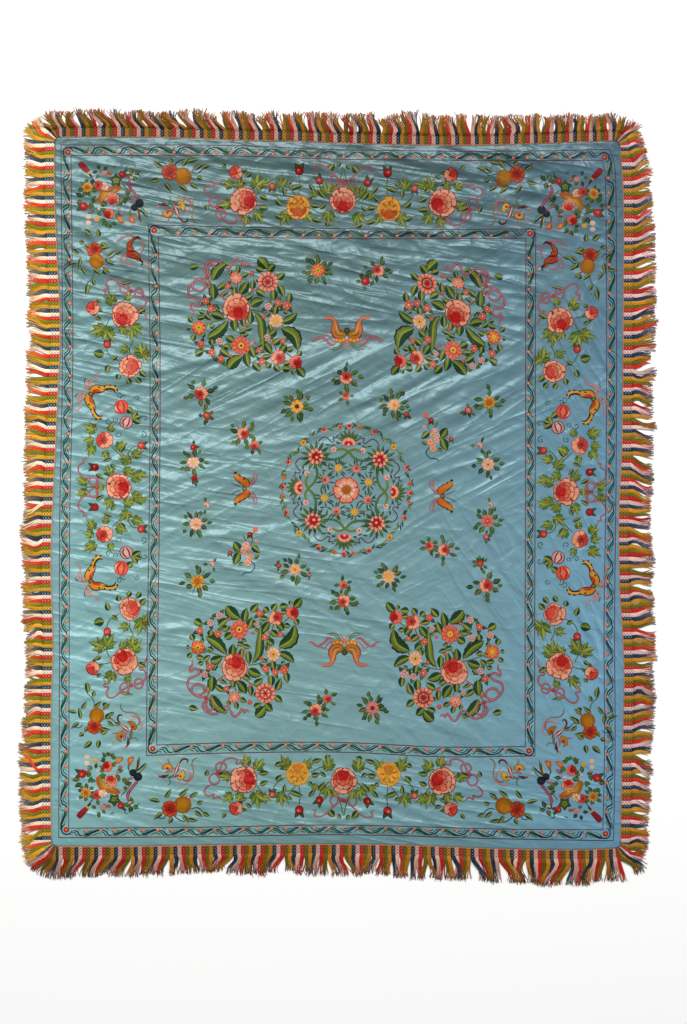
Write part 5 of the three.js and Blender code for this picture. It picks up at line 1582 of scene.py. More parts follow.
def red_butterfly(pen):
    """A red butterfly of the side bands with one hooked wing up and one down, and pink ribbons."""
    wing(pen, [(0, 3), (-3, -3), (-2, -8), (2, -12), (7, -13)], 3.8, [0.7, 1, 0.85, 0.6, 0.5, 0.4, 0.3],
         "flame", "orange", "black", 0.4)
    wing(pen, [(-6, 4), (0, 5), (5, 7), (7, 11), (11, 13)], 4.4, [0.6, 0.9, 1, 0.9, 0.6, 0.4, 0.3],
         "flame", "orange", "black", 0.5)
    for x, y in ((-2.5, -4), (-0.5, -8), (1, 5), (4.5, 8)):
        disc(pen, x, y, 1.5, "ochre", "brown", 1.0, 0.3)
    for path in ([(-6, 3), (-11, 7), (-12, 12), (-8, 15)], [(-5, 6), (-7, 12), (-2, 15), (4, 15)],
                 [(8, -11), (12, -6), (11, 0), (8, 4)], [(4, -14), (-4, -15), (-12, -12), (-17, -8)],
                 [(10, 12), (14, 12), (17, 16), (16, 21)]):
        stroke(pen, path, 1.6, "pink", 0.2, 0.3, "crimson")
    for path in ([(-0.5, -9.5), (2.5, -12.5), (7, -13.5), (9, -11)],
                 [(5.5, 8), (8, 10.5), (11, 13.5), (9.5, 16.5)], [(-5, 1), (0, 1.4), (3.4, 1)]):
        stroke(pen, path, 2.4, "deep", 1.2, 0.4, tip="black")
    stroke(pen, [(-5, -2), (-10, 0), (-14, 5)], 0.8, "olive", 0.15)


def pomegranate(pen, flower=(-13.0, -4.0)):
    """An orange fruit with a red crown beside an open orange flower, among willow leaves."""
    for place in ((-20, -8, -29, -15), (-23, 3, -34, 5), (-18, 7, -12, 16), (-4, 9, 5, 16),
                  (-10, -13, -14, -19), (0, -10, 6, -18), (7, 8, 15, 13), (12, -6, 20, -12),
                  (20, -8, 27, -11), (4, -14, 15, -16), (14, 1, 20, 4)):
        leaf(pen, *place, 3.3, 0.06)
    stroke(pen, [(8, -4), (15, -3), (21, -8), (27, -11)], 0.9, "leaf_edge")
    stroke(pen, [(-10, -10), (-4, -15), (2, -17)], 1.1, "navy")
    stroke(pen, [(-16, -10), (-20, -14), (-28, -12)], 0.8, "leaf_edge")
    disc(pen, 0, 0, 8.8, "peel", "amber", 0.4, 0.6)
    disc(pen, -1, -2.5, 5.4, "peel", "peel", 0.9, 0.3)
    stroke(pen, [(6, 5), (8, 8), (9.5, 6)], 1.8, "red", 0.9)
    pen = pen.at(*flower)
    ring_of_petals(pen, 0, 0, 8, 2.0, 8.4, 3.0, "red", "orange", "deep", 0.6)
    ring_of_petals(pen, 0, 0, 6, 0.5, 5.2, 2.2, "deep", "flame", "deep", 0.95, 20)
    disc(pen, 0, 0, 1.8, "red", "deep", 1.3, 0.2)


def peach_fruit(pen, radius, red):
    """A round fruit with two curved seams."""
    inner, outer, edge = ("salmon", "coral", "red") if red else ("pale", "pink", "plum")
    filled(pen, [(-radius, 0), (-radius * 0.6, -radius * 0.8), (radius * 0.5, -radius * 0.9), (radius, 0),
                 (radius * 0.4, radius * 0.9), (-radius * 0.7, radius * 0.75)], inner, outer, edge, 0.45)
    for top, middle, low in ((-0.15, -0.5, -0.1), (0.25, 0.4, 0.2)):
        stroke(pen, [(top * radius, -0.8 * radius), (middle * radius, 0), (low * radius, 0.75 * radius)],
               radius * 0.2, edge, 1.0)
    shine = [(x * radius, y * radius) for x, y in ((-0.75, -0.3), (-0.8, 0.1), (-0.55, 0.5))]
    stroke(pen, shine, radius * 0.2, "cream" if red else "lilac", 0.9)


# The top band from its left end to its middle, in pixels of the photograph. The other three quarters of the
# top and bottom bands mirror it.
BAND_MIDDLE = (343.4, 490.0)
BAND_LOBED = rows("px py size turn", [
    (256, 187, 11, -75), (262, 184, 8, -20), (281, 186, 9, -85), (257, 213, 9, 60), (247, 217, 8, 110),
    (231, 186, 8, -140), (229, 204, 8, 170), (287, 214, 10, 120), (306, 214, 8, 60), (327, 193, 9, -100),
    (329, 213, 10, 100), (333, 190, 7, -60), (240, 187, 7, -100), (316, 196, 6, -110),
])
BAND_LEAVES = rows("x0 y0 x1 y1 width bow", [
    (276, 200, 282, 206, 4.4, 0), (311, 206, 320, 207, 4.2, 0.05), (308, 199, 313, 195, 3.4, 0),
    (290, 190, 303, 185.5, 4.2, 0.06), (284, 188, 285, 197, 3.2, 0), (288, 184, 292, 181, 3.0, 0),
    (260, 196, 268, 200, 4.0, 0), (259, 208, 269, 209, 4.4, 0.05), (217, 204, 227, 209, 4.0, 0),
    (206, 205, 208, 211, 3.6, 0), (309, 184, 316, 193, 3.4, 0), (318, 190, 325, 199, 3.6, 0),
    (329, 171, 335, 164, 5.4, 0.05), (312, 219, 322, 222, 3.6, 0), (325, 222, 331, 225, 4.6, 0),
    (246, 177, 252, 173, 3.2, 0), (226, 168, 222, 163, 3.0, 0), (241, 181, 248, 183, 3.0, 0),
    (275, 215, 283, 219, 4.0, 0), (320, 209, 326, 204, 3.2, 0), (337, 167, 341, 162, 3.2, 0),
])
BAND_STEMS = [
    [(256, 196), (266, 186), (280, 189), (292, 190), (302, 186)], [(237, 179), (240, 184), (242, 188)],
    [(296, 196), (290, 188), (287, 182), (289, 176)], [(310, 208), (322, 214), (331, 210)],
    [(319, 184), (322, 192), (330, 200)], [(299, 175), (300, 184), (299, 195)],
    [(272, 190), (277, 198), (286, 204)], [(338, 186), (341, 176), (343, 166)],
]
SIDE_BOW = {
    "loops": [(214.5, 202.0, 5.2, 5.4), (221.0, 214.0, 5.2, 4.6)],
    "tails": [
        [(212, 197), (206, 193), (204.5, 188), (209, 185), (214, 187), (213, 182.5), (218, 184), (223, 181)],
        [(219, 208), (223, 219), (230, 223), (237, 221.5), (236, 217), (242, 219), (245, 223.5),
         (249, 222.5)],
    ],
    "knot": (217.4, 207.6),
}
CENTRE_BOW = {
    "loops": [(334.2, 180.4, 4.0, 4.6)],
    "tails": [
        [(341, 181), (333, 174), (327, 168), (320, 164.5), (314, 166), (316, 170.5), (312, 171.5)],
        [(342, 181), (337, 187), (340, 193)],
    ],
    "knot": (342.4, 181.0),
}


def quarter_band(pen, sunny):
    """Flowers, bow and leaves of half of the top band, with the fruit and butterfly at its end."""
    local = pen.at(-BAND_MIDDLE[0], -BAND_MIDDLE[1])
    for path in BAND_STEMS:
        stroke(local, path, 1.0, "grass", 0.1)
    bow(local, **SIDE_BOW, width=1.7)
    bow(local, **CENTRE_BOW, width=1.6)
    for row in BAND_LOBED:
        lobed(local.at(row["px"], row["py"]), row["size"], row["turn"])
    for row in BAND_LEAVES:
        leaf(local, **row)
    peony(local.at(244, 201), 14.2, 5)
    rosebud(local.at(236, 172.7), 7.2, 200)
    bud(local.at(272.4, 186.4), 3.6, "salmon", "crimson")
    bud(local.at(299.3, 171), 4.5, "red", "deep", 90)
    bud(local.at(319.6, 181), 4.1, "red", "deep", 60)
    yellow_peony(local.at(298, 207.3), 12.2, 90, sunny)
    pomegranate(local.at(183, 176.3))
    fancy_butterfly(local.at(177, 208, 0.95, 8))


# The left band from its top end to its middle. The other three quarters of the side bands mirror it.
SIDE_MIDDLE = (118.8, 487.0)
SIDE_LOBED = rows("px py size turn", [
    (112, 303, 9, -110), (134, 326, 9, 50), (103, 329, 11, 160), (106, 330, 11, 60), (122, 328, 7, 60),
    (132, 330, 9, 90), (127, 299, 6, -60), (142, 355, 11, -100), (144, 353, 8, 60), (127, 350, 7, -160),
    (94, 430, 9, -150), (92, 440, 7, 170), (93, 447, 8, 120), (110, 430, 6, -60), (106, 452, 6, 90),
    (118, 447, 8, -20), (134, 455, 8, -20), (128, 462, 9, -130), (126, 470, 8, 30), (110, 474, 8, -110),
    (138, 474, 8, 20), (86, 483, 7, -150), (84, 492, 6.5, 160), (101, 486, 5, 90), (133, 496, 8, 10),
])
SIDE_LEAVES = rows("x0 y0 x1 y1 width bow", [
    (92, 236, 84, 229, 4.0, 0), (101, 243, 108, 248, 4.2, 0), (99, 237, 98, 229, 4.0, 0),
    (106, 258, 111, 264, 4.2, 0), (84, 244, 79, 241, 3.4, 0), (104, 270, 107, 274, 4.6, 0),
    (81, 258, 79, 269, 3.2, 0), (88, 284, 86, 295, 4.2, 0.05), (93, 280, 95, 286, 3.2, 0),
    (104, 354, 94, 352, 6.6, 0.06), (109, 365, 106, 373, 4.6, 0), (112, 360, 118, 356, 3.4, 0),
    (140, 371, 146, 377, 4.6, 0), (119, 374, 118, 380, 4.6, 0), (138, 313, 146, 309, 4.6, 0),
    (120, 284, 133, 282, 2.6, 0), (131, 384, 127, 378, 4.2, 0), (141, 383, 136, 377, 4.2, 0),
    (112, 458, 103, 462, 2.6, 0), (120, 452, 126, 444, 3.4, 0), (96, 474, 104, 479, 3.2, 0),
    (111, 464, 116, 470, 3.0, 0), (101, 320, 95, 316, 3.2, 0), (97, 299, 101, 303, 3.0, 0),
])
SIDE_STEMS = [
    [(95, 270), (93, 278), (87, 284), (86, 292)], [(99, 312), (108, 313), (116, 316)],
    [(106, 346), (110, 356), (120, 362)], [(110, 318), (106, 326), (100, 330)],
    [(140, 447), (132, 448), (126, 460), (124, 474)], [(112, 447), (120, 455), (126, 462)],
    [(130, 294), (130, 306)], [(121, 476), (132, 473), (143, 474)], [(97, 487), (88, 487), (82, 490)],
    [(134, 340), (130, 348), (130, 354)],
]
SIDE_BAND_BOW = {
    "loops": [(124.6, 288.5, 4.4, 5.0), (138.8, 293.0, 4.2, 5.0)],
    "tails": [
        [(130, 291), (122, 286), (115, 280), (109, 279), (106.5, 284), (109, 289), (104, 290),
         (106, 294.5), (103, 297)],
        [(132, 291), (142, 294), (146.5, 300), (144.5, 306), (140, 306.5), (141, 311), (145, 314),
         (147, 320)],
    ],
    "knot": (131.3, 291.2),
}
MIDDLE_BOW = {
    "loops": [(94.0, 481.2, 4.6, 4.4)],
    "tails": [[(96, 486), (96, 478), (85, 478), (79, 472), (79, 465.5), (84, 462.5), (83.5, 458.5),
               (87, 459), (86, 456)]],
    "knot": (97.0, 487.0),
}
# A curled tendril from its stem, and where the tendrils of the two round fruits grow.
CURL = [(0, 0), (3, -2.4), (6, -1.6), (6.6, 1.4), (4.4, 2.6), (3, 1), (4.4, 0)]
TENDRILS = [
    (123, 397, 0.9, -150, 1), (126, 396, 0.9, -30, -1), (134, 399, 0.8, -20, 1), (113, 421, 1, 170, 1),
    (114, 417, 0.8, -120, -1), (141, 421, 1, -40, 1), (142, 431, 1, 60, 1), (121, 432, 0.9, 130, 1),
]


def quarter_side(pen, upper):
    """Flowers, bows, fruit and butterflies of half of the left band."""
    local = pen.at(-SIDE_MIDDLE[0], -SIDE_MIDDLE[1])
    for path in SIDE_STEMS:
        stroke(local, path, 1.0, "grass", 0.1)
    bow(local, **SIDE_BAND_BOW, width=1.8)
    bow(local, **MIDDLE_BOW, width=1.5)
    for row in SIDE_LOBED:
        lobed(local.at(row["px"], row["py"]), row["size"], row["turn"])
    for row in SIDE_LEAVES:
        leaf(local, **row)
    pomegranate(local.at(97.0, 261.4, 0.88, 0), (-3.0, -12.8))
    if upper:
        red_butterfly(local.at(132.5, 250, 0.95))
    else:
        fancy_butterfly(local.at(129, 248, 0.95, 80), "ochre", "honey")
    rosebud(local.at(93, 308), 7.0, 230)
    peony(local.at(125, 315), 13.6, 115)
    bud(local.at(107.4, 344.5), 4.0, "coral", "crimson", 90)
    peony(local.at(130, 366.3, 1.0, 0), 11.2, 20, "peach", "salmon", "coral", "coral")
    hooked_butterfly(local.at(91, 394, 0.95, 30))
    peach_fruit(local.at(121.4, 407, 1, -10), 7.4, True)
    peach_fruit(local.at(126.4, 422.5, 1, 20), 6.8, False)
    for turn in (-60, -20, 30):
        a = math.radians(turn)
        leaf(local, 133, 419, 133 + 9 * math.cos(a), 419 + 9 * math.sin(a), 5.0)
    leaf(local, 127, 408, 133, 413, 5.4)
    for place in TENDRILS:
        stroke(local.at(*place), CURL, 0.75, "teal", 0.12)
    rose(local.at(104.2, 440.3), 8.6, 200)
    bud(local.at(141.2, 445.6), 3.9, "coral", "crimson", 180)
    bud(local.at(95.2, 467.2), 3.9, "red", "deep", 0)


# The group in the upper left corner. The other three mirror it.
CORNER_HEART = (110.5, 195.0)


def long_necked_bird(local):
    """A bird with a long bent neck, a round body and a tail of five feathers."""
    neck = [(131, 178), (129, 183), (130.5, 188), (134, 193), (138.5, 198.5), (140, 203)]
    stroke(local, neck, 3.0, "mauve", 0.4, 0.6, "crimson")
    stroke(local, [(130, 177), (133, 178.5)], 2.4, "pale", 0.7, 0.7)
    stroke(local, [(132, 180), (135, 180.5)], 0.8, "black", 0.7)
    stroke(local, [(122, 184), (127, 189), (133, 197)], 1.0, "olive", 0.3)
    stroke(local, [(128, 200), (135, 203)], 2.8, "lilac", 0.5, 0.4, "crimson")
    disc(local, 139.5, 203.5, 4.4, "navy", "black", 0.6, 0.4)
    disc(local, 134.5, 207.5, 3.6, "navy", "black", 0.65, 0.4)
    for path, tint in (([(137, 208), (143, 213), (147.5, 217.5)], "navy"),
                       ([(137, 208), (140, 215), (141, 224)], "olive"),
                       ([(136, 209), (139, 214), (139.5, 221)], "navy"),
                       ([(131, 208), (130, 214), (134, 220)], "olive"),
                       ([(138, 206), (143, 209), (149, 217)], "leaf_light"),
                       ([(137, 210), (138, 217)], "gold")):
        stroke(local, path, 1.6, tint, 0.35, 0.2)


def corner_group(pen):
    """A tassel, a curled horn, flowers and a long-necked bird."""
    local = pen.at(-CORNER_HEART[0], -CORNER_HEART[1])
    stroke(local, [(88, 173), (92, 178), (97, 184)], 0.9, "plum", 0.2)
    filled(local, [(78, 164.5), (81, 161.5), (84, 163), (90, 170.5), (89, 173.5), (86, 173), (80, 168)],
           "crimson", "crimson", "deep", 0.35)
    stroke(local, [(87.5, 174), (90.5, 171.5)], 1.8, "gold", 0.9, 1.0)
    stroke(local, [(89.5, 174), (92.5, 177)], 2.2, "brown", 0.6, 0.6)
    filled(local, [(100, 192), (104, 188), (110, 187), (119, 185.5), (122, 188), (118, 192), (110, 194),
                   (104, 199), (102, 204), (98, 203), (98, 198)], "gold", "amber", "orange", 0.35)
    stroke(local, [(102, 190), (107, 192), (113, 189), (119, 188)], 1.2, "coral", 0.9)
    for path in ([(110, 176), (106, 172), (102, 174)], [(128, 172), (126, 167), (130, 166)],
                 [(138, 174), (141, 177)], [(116, 168), (112, 166)], [(98, 168), (101, 166)]):
        stroke(local, path, 0.8, "leaf_edge", 0.15)
    leaf_ring(local.at(101, 172), 5, 3, 5, 2.6)
    leaf_ring(local.at(86, 200), 6, 4, 7, 3.2, 20)
    leaf_ring(local.at(97, 207), 7, 4, 6, 3.0)
    leaf_ring(local.at(113, 208), 8, 5, 7, 3.2)
    leaf_ring(local.at(110, 221), 7, 3, 5, 2.6, 0, 200)
    leaf_ring(local.at(124, 196), 5, 2, 6, 2.8, -60, 160)
    leaf_ring(local.at(88, 188), 8, 4.2, 5, 2.8, 60)
    leaf_ring(local.at(134, 175), 4, 1, 7, 3.4, -60)
    for turn in around(5, -90):
        little_leaf(local, 116, 180.5, turn, 6.5, 3.6, "leaf_dark", 0.25)
    disc(local, 116, 180.5, 3.0, "olive", "leaf_light", 0.5, 0.3)
    daisy(local.at(87.5, 187.5), 5.2, 8, "orange", "gold", "amber", "orange", None)
    rose(local.at(98.6, 185.5), 4.8, 180, "coral", "coral", "coral", "red")
    daisy(local.at(104.5, 187), 4.4, 7, "cream", "cream", "salmon", "peach", "brown")
    peony(local.at(112.5, 198.8), 6.8, 90, "peach", "salmon", "coral", "red")
    bud(local.at(84, 206.5), 4.4, "red", "crimson", 0)
    rose(local.at(108.8, 213.8), 5.4, 150, "salmon", "coral", "red", "red")
    bud(local.at(122.5, 174.8), 3.6, "red", "crimson", 160)
    filled(local, [(116.5, 217), (120, 216.5), (125, 222), (120, 223)], "gold", "orange", "red", 0.45)
    filled(local, [(129, 219), (131.5, 215), (134, 219), (135.5, 223.5), (130, 222.5)],
           "gold", "flame", "red", 0.45)
    for x, y, r, tint in ((88.5, 216.8, 3.0, "cream"), (88.5, 223, 3.0, "pale"), (97, 219.5, 2.8, "gold"),
                          (104.5, 173, 3.0, "pink"), (110.5, 174, 2.0, "orange"), (90.5, 212, 1.8, "mauve"),
                          (122, 213, 2.4, "mauve"), (119, 208, 1.8, "lilac"), (99, 209, 1.5, "pale")):
        disc(local, x, y, r, tint, tint, 0.45, 0.4, 0.85)
    long_necked_bird(local)


def medallion_quarter(pen, quarter):
    """One side of the green frame with its ribbons and flower, and the flowers on one corner."""
    axis = pen.at(0, 0, 1, 90 * quarter)
    for side in (1, -1):
        half = axis.at(0, 0, 1, 0, side)
        stroke(half, [(-24, -31.5), (-14, -30), (-5.5, -33), (0, -38.5), (7, -41), (15, -38)], 2.2,
               "frame", 0.3 + 0.35 * (side > 0), 0.35, None, "leaf_light")
        blossom(half.at(14.5, -40), 2.8, 5, "pink", "pale", "pink", "deep")
        stroke(half, [(31, -45), (28, -50), (23.5, -52), (19.5, -49.5), (16.5, -46.8), (14.5, -49),
                      (16.2, -53), (13, -51.5), (11.5, -54.5), (9.5, -53.5)], 1.0, "purple", 0.2, 0.5)
        for x, y, turn in ((8, -46, -20), (13, -45, 20), (18, -44, -10), (20, -35, 60), (26, -26, 80),
                           (19, -26, 100), (10, -27, 80), (6, -30, 70)):
            little_leaf(half, x, y, turn, 5.2, 1.2, "leaf_dark")
        stroke(half, [(20, -36), (25, -37), (29, -38.5)], 1.1, "leaf_light", 0.2)
        stroke(half, [(8.5, -47), (12.5, -45.5)], 1.2, "navy", 0.2)
    for turn in (-158, -135, -112, -90, -68, -45, -22):
        a = math.radians(turn)
        little_leaf(axis, 4 * math.cos(a), -47.5 + 4 * math.sin(a), turn, 8.2, 2.2, "grass", 0.2)
    for turn in (-165, -130, -90, -50, -15):
        petal(axis, 0, -45.5, turn, 0.5, 7.2, 2.6, "coral", "peach", "coral", 0.5)
    for turn in (-150, -115, -65, -30):
        petal(axis, 0, -45, turn, 0.3, 4.6, 1.7, "deep", "red", "crimson", 0.85)
    disc(axis, 0, -45.2, 1.9, "pale", "coral", 1.2, 0.2)
    corner = pen.at(0, 0, 1, 90 * quarter + 45)
    for turn in around(14, 6):
        a = math.radians(turn)
        little_leaf(corner, 5.5 * math.cos(a), -45.5 + 5.5 * math.sin(a), turn, rng.uniform(7.5, 10.5),
                    2.2, "grass" if rng.random() < 0.6 else "leaf_dark", 0.2)
    ring_of_petals(corner, 0, -45.5, 9, 1.0, 8.6, 2.6, "coral", "peach", "crimson", 0.5, 0, True)
    ring_of_petals(corner, 0, -44.8, 7, 0.6, 5.6, 2.0, "deep", "red", "deep", 0.85, 0, True)
    disc(corner, 0, -44.2, 1.8, "pale", "coral", 1.25, 0.2)
    daisy(corner.at(0, -64), 3.2, 7, "gold", "gold", "amber", "amber", None)
    for side in (1, -1):
        spot = pen.at(0, 0, 1, 90 * quarter + 23 * side)
        rose(spot.at(0, -64), 2.8, -90, "pink", "salmon", "coral", "coral")
        spot = pen.at(0, 0, 1, 90 * quarter + 8.5 * side)
        blossom(spot.at(0, -63.5), 2.3, 5, "amber", "salmon", "orange", "brown")
    rose(axis.at(0, -63.5), 2.9, -90, "pink", "salmon", "coral", "coral")


WREATH_LEAVES = 112
WREATH_RADIUS = 64


def wreath(pen):
    """The outer ring of small leaves, open where its flowers are."""
    for k in range(WREATH_LEAVES):
        turn = 360 * k / WREATH_LEAVES + rng.uniform(-1.2, 1.2)
        if abs((turn + 22.5 + 5) % 22.5) < 1.5:
            continue
        spot = pen.at(0, 0, 1, turn)
        out = rng.choice((-1, 1))
        tint = ("leaf_dark", "grass", "leaf_light", "navy")[rng.integers(0, 4)]
        little_leaf(spot, 0, -WREATH_RADIUS, rng.choice((0, 180)) + out * 32, 6.0, 1.35, tint)
    stroke(pen, circle_of(WREATH_RADIUS, 41), 0.6, "grass", 0.05, 1.0, steps=120)


def medallion(stitches):
    """The round centre: a large flower, a ring of eight, a crossing green frame and an outer wreath."""
    pen = Pen(stitches, 346.5, 490.0, 1.0, 2.6)
    for k in range(8):
        turn = 22.5 + 45 * k
        a = math.radians(turn)
        small = pen.at(23.4 * math.cos(a), 23.4 * math.sin(a), 1, turn)
        leaf_ring(small, 11, 3.8, 6.2, 1.2, 0, 360, "leaf_dark")
        if k % 2:
            daisy(small, 3.9, 8, "gold", "gold", "amber", "gold", None)
        else:
            rose(small, 3.9, 0, "pink", "salmon", "salmon", "coral")
    ring_of_petals(pen, 0, 0, 10, 3.0, 13.4, 4.1, "peach", "salmon", "crimson", 0.5)
    ring_of_petals(pen, 0, 0, 10, 3.0, 9.2, 2.2, "peach", "pale", "salmon", 0.75)
    for turn in around(16, 11):
        stroke(pen, ray(turn, 3.6, 6.4), 0.9, "crimson", 1.0, steps=3)
    disc(pen, 0, 0, 4.6, "orange", "amber", 1.0, 0.4)
    disc(pen, 0, 0, 1.8, "amber", "flame", 1.4, 0.2)
    for quarter in range(4):
        medallion_quarter(pen, quarter)
    wreath(pen)


# The two borders of fine lines with a vine between, as their corners clockwise from the upper left, in pixels
# of the photograph, with the vine's step, the radius of its blossoms and the places of the corner flowers.
BORDERS = {
    "outer": {
        "out": [(61.0, 145.0), (220.0, 145.5), (345.0, 150.0), (500.0, 151.5), (609.5, 149.5), (615.5, 180.0),
                (616.5, 330.0), (616.0, 470.0), (614.5, 620.0), (615.0, 740.0), (613.5, 840.5),
                (500.0, 838.5),
                (345.0, 834.5), (200.0, 836.5), (58.8, 837.5), (59.5, 700.0), (59.8, 520.0), (62.5, 360.0)],
        "in": [(71.2, 155.5), (220.0, 156.0), (345.0, 159.5), (500.0, 160.8), (602.5, 160.5), (605.5, 190.0),
               (606.5, 330.0), (606.0, 470.0), (604.0, 620.0), (604.5, 740.0), (602.8, 829.5), (500.0, 828.8),
               (345.0, 824.8), (200.0, 827.0), (68.8, 828.0), (69.2, 700.0), (69.8, 520.0), (73.0, 360.0)],
        "corners": (0, 4, 10, 14), "step": 14.6, "blossom": 1.7,
        "flowers": [(67.8, 152.2), (604.4, 157.2), (605.4, 833.6), (66.4, 829.6)],
    },
    "inner": {
        "out": [(148.5, 225.0), (250.0, 227.2), (345.0, 228.8), (450.0, 229.6), (535.6, 229.0),
                (535.2, 360.0), (535.0, 500.0), (534.5, 640.0), (534.8, 755.8), (440.0, 756.5),
                (345.0, 752.0), (240.0, 752.5), (146.6, 755.2), (147.5, 640.0), (149.5, 500.0),
                (150.2, 360.0)],
        "in": [(158.4, 236.2), (250.0, 237.4), (345.0, 238.6), (450.0, 238.8), (525.8, 238.2), (525.6, 360.0),
               (525.4, 500.0), (525.0, 640.0), (525.2, 746.4), (440.0, 746.8), (345.0, 742.4), (240.0, 742.4),
               (156.8, 744.8), (157.8, 640.0), (159.6, 500.0), (160.2, 360.0)],
        "corners": (0, 4, 8, 12), "step": 16.0, "blossom": 1.7,
        "flowers": [(154.3, 230.6), (529.8, 233.6), (528.9, 750.8), (152.8, 748.4)],
    },
}


# Steps along a border's side, and in pixels how far from the corners its vine stops.
LINE_STEPS = 200
VINE_MARGIN = 7.0


def border(stitches, out, corners, step, blossom, flowers, **lines):
    """Two fine lines, a vine of overlapping dark strokes between them and a small flower in each swing."""
    pen = Pen(stitches)
    inner = lines["in"]
    ends = [*corners, len(out)]
    for start, end in zip(ends, ends[1:]):
        sides = []
        for line in (out, inner):
            side = [line[k % len(line)] for k in range(start, end + 1)]
            sides.append(side)
            stroke(pen, side, 0.8, "line", 0.4, 0.9, steps=LINE_STEPS)
        length = math.dist(sides[0][0], sides[0][-1])
        outer_line, inner_line = catmull(sides[0], LINE_STEPS), catmull(sides[1], LINE_STEPS)
        middle = (outer_line + inner_line) / 2
        across = (outer_line - inner_line) / 2
        free = length - 2 * VINE_MARGIN
        turns = max(2, round(free / step))

        def place(along, aside):
            """A place so many turns along the vine, and aside from the middle towards the outer line."""
            s = (VINE_MARGIN + free * along / turns) / length * (LINE_STEPS - 1)
            s = min(max(s, 0), LINE_STEPS - 1)
            k = min(int(s), LINE_STEPS - 2)
            m = middle[k] + (middle[k + 1] - middle[k]) * (s - k)
            return m + across[k] * aside

        for k in range(turns):
            swing = 1 if k % 2 else -1
            tint, other = ("navy", "teal") if swing > 0 else ("leaf_dark", "navy")
            long = [(-0.1, -0.62), (0.16, -0.56), (0.42, -0.1), (0.66, 0.36), (1.0, 0.5)]
            stroke(pen, [place(k + t, swing * h) for t, h in long], 1.4, tint, 0.22, 0.1, steps=9)
            beside = [(0.22, -0.72), (0.44, -0.5), (0.72, 0.06), (1.06, 0.2)]
            stroke(pen, [place(k + t, swing * h) for t, h in beside], 0.95, other, 0.24, 0.05, steps=7)
            for back in ([(-0.08, -0.1), (0.14, 0.2), (0.34, 0.72)],
                         [(0.36, 0.4), (0.52, 0.62), (0.84, 0.84)],
                         [(0.6, -0.62), (0.8, -0.3), (1.02, -0.2)]):
                stroke(pen, [place(k + t, swing * h) for t, h in back], 1.1,
                       "sage" if rng.random() < 0.5 else "grass", 0.15, 0.05, steps=4)
            fx, fy = place(k + 1.02, -0.42)
            if k < turns - 1:
                disc(pen, fx, fy, blossom, "peach", "coral" if rng.random() < 0.6 else "orange", 0.5, 0.4)
    for x, y in flowers:
        right, down = math.copysign(1, x - PHOTO_ORIGIN[0]), math.copysign(1, y - PHOTO_ORIGIN[1])
        spot = Pen(stitches, x, y, matrix=np.diag([right, down]))
        stroke(spot, [(-5.4, 1), (-3.4, 4), (1.5, 4.4), (4.4, 1.5), (4, -3.4), (1, -5.4)], 1.3, "navy", 0.2)
        daisy(spot, 2.9, 7, "red", "flame", "red", "gold", None)


def embroider():
    """Every group of embroidery as a mesh of its own."""
    groups = {}

    def group(name):
        return groups.setdefault(name, Stitches())

    medallion(group("medallion"))
    for px, py, sx, sy, lean in ((236.3, 307.5, 1, 1, 0), (457.8, 312.6, -0.97, 1, 0.11),
                                 (234.5, 667.7, 0.98, -1, 0), (455.0, 672.1, -1, -1, 0)):
        pen = Pen(group("bouquets"), px, py, matrix=np.array([[sx, 0.0], [-lean, sy]]))
        bouquet(pen)
    for row in SPRIGS:
        sprig(group("sprigs"), **row)
    apple_branch(Pen(group("sprigs"), 246, 551, 1, 0))
    apple_branch(Pen(group("sprigs"), 435, 437, 1, 0, -1))
    tailed_butterfly(Pen(group("butterflies"), 347, 333))
    tailed_butterfly(Pen(group("butterflies"), 344.5, 650, matrix=np.diag([1.0, -1.0])))
    side_butterfly(Pen(group("butterflies"), 244.5, 488.5, 1.05))
    side_butterfly(Pen(group("butterflies"), 442.5, 496, 1.05, 0, -1))
    for name, py, sy, sx_dy in (("top_band", 490.0, 1, 2.2), ("bottom_band", 490.8, -1, 1.0)):
        for side, dy in ((1, 0), (-1, sx_dy)):
            quarter_band(Pen(group(name), BAND_MIDDLE[0], py + dy, matrix=np.diag([float(side), float(sy)])),
                         sy < 0)
        peony(Pen(group(name), 343.2, 490 - 289 * sy + (2 if sy < 0 else 0)), 13.6, 90 * sy)
    for name, px, side, dy in (("left_band", 118.8, 1, 0.0), ("right_band", 565.6, -1, 5.0)):
        for sy in (1, -1):
            length = 1.0 if sy > 0 else -1.012
            pen = Pen(group(name), px, SIDE_MIDDLE[1] + dy, matrix=np.diag([float(side), length]))
            quarter_side(pen, sy > 0)
        peony(Pen(group(name), px - 0.5 * side, 486.8 + dy), 13.2, 0 if side > 0 else 180)
    for px, py, sx, sy in ((110.5, 195.0, 1, 1), (570.5, 201.5, -1, 1), (109.0, 785.0, 1, -1),
                           (570.0, 789.0, -1, -1)):
        corner_group(Pen(group("corners"), px, py, matrix=np.diag([float(sx), float(sy)])))
    for name, line in BORDERS.items():
        border(group(f"{name}_border"), **line)
    return groups


silk = silk_shell(silk_material())
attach(silk, "root")
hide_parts("ground")

braid_look = floss_material("braid_floss", 0.55, 0.9, 0.5)
for side, shape in RUNS.items():
    run = Run(shape["facing"])
    woven = braid_heading(side, run, shape["locks"], braid_look)
    loose = floss(side, run, shape, braid_look)
    for piece in (woven, loose):
        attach(piece, "root")
    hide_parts(f"fringe_{side}")
    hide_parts(f"fringe_{side}")

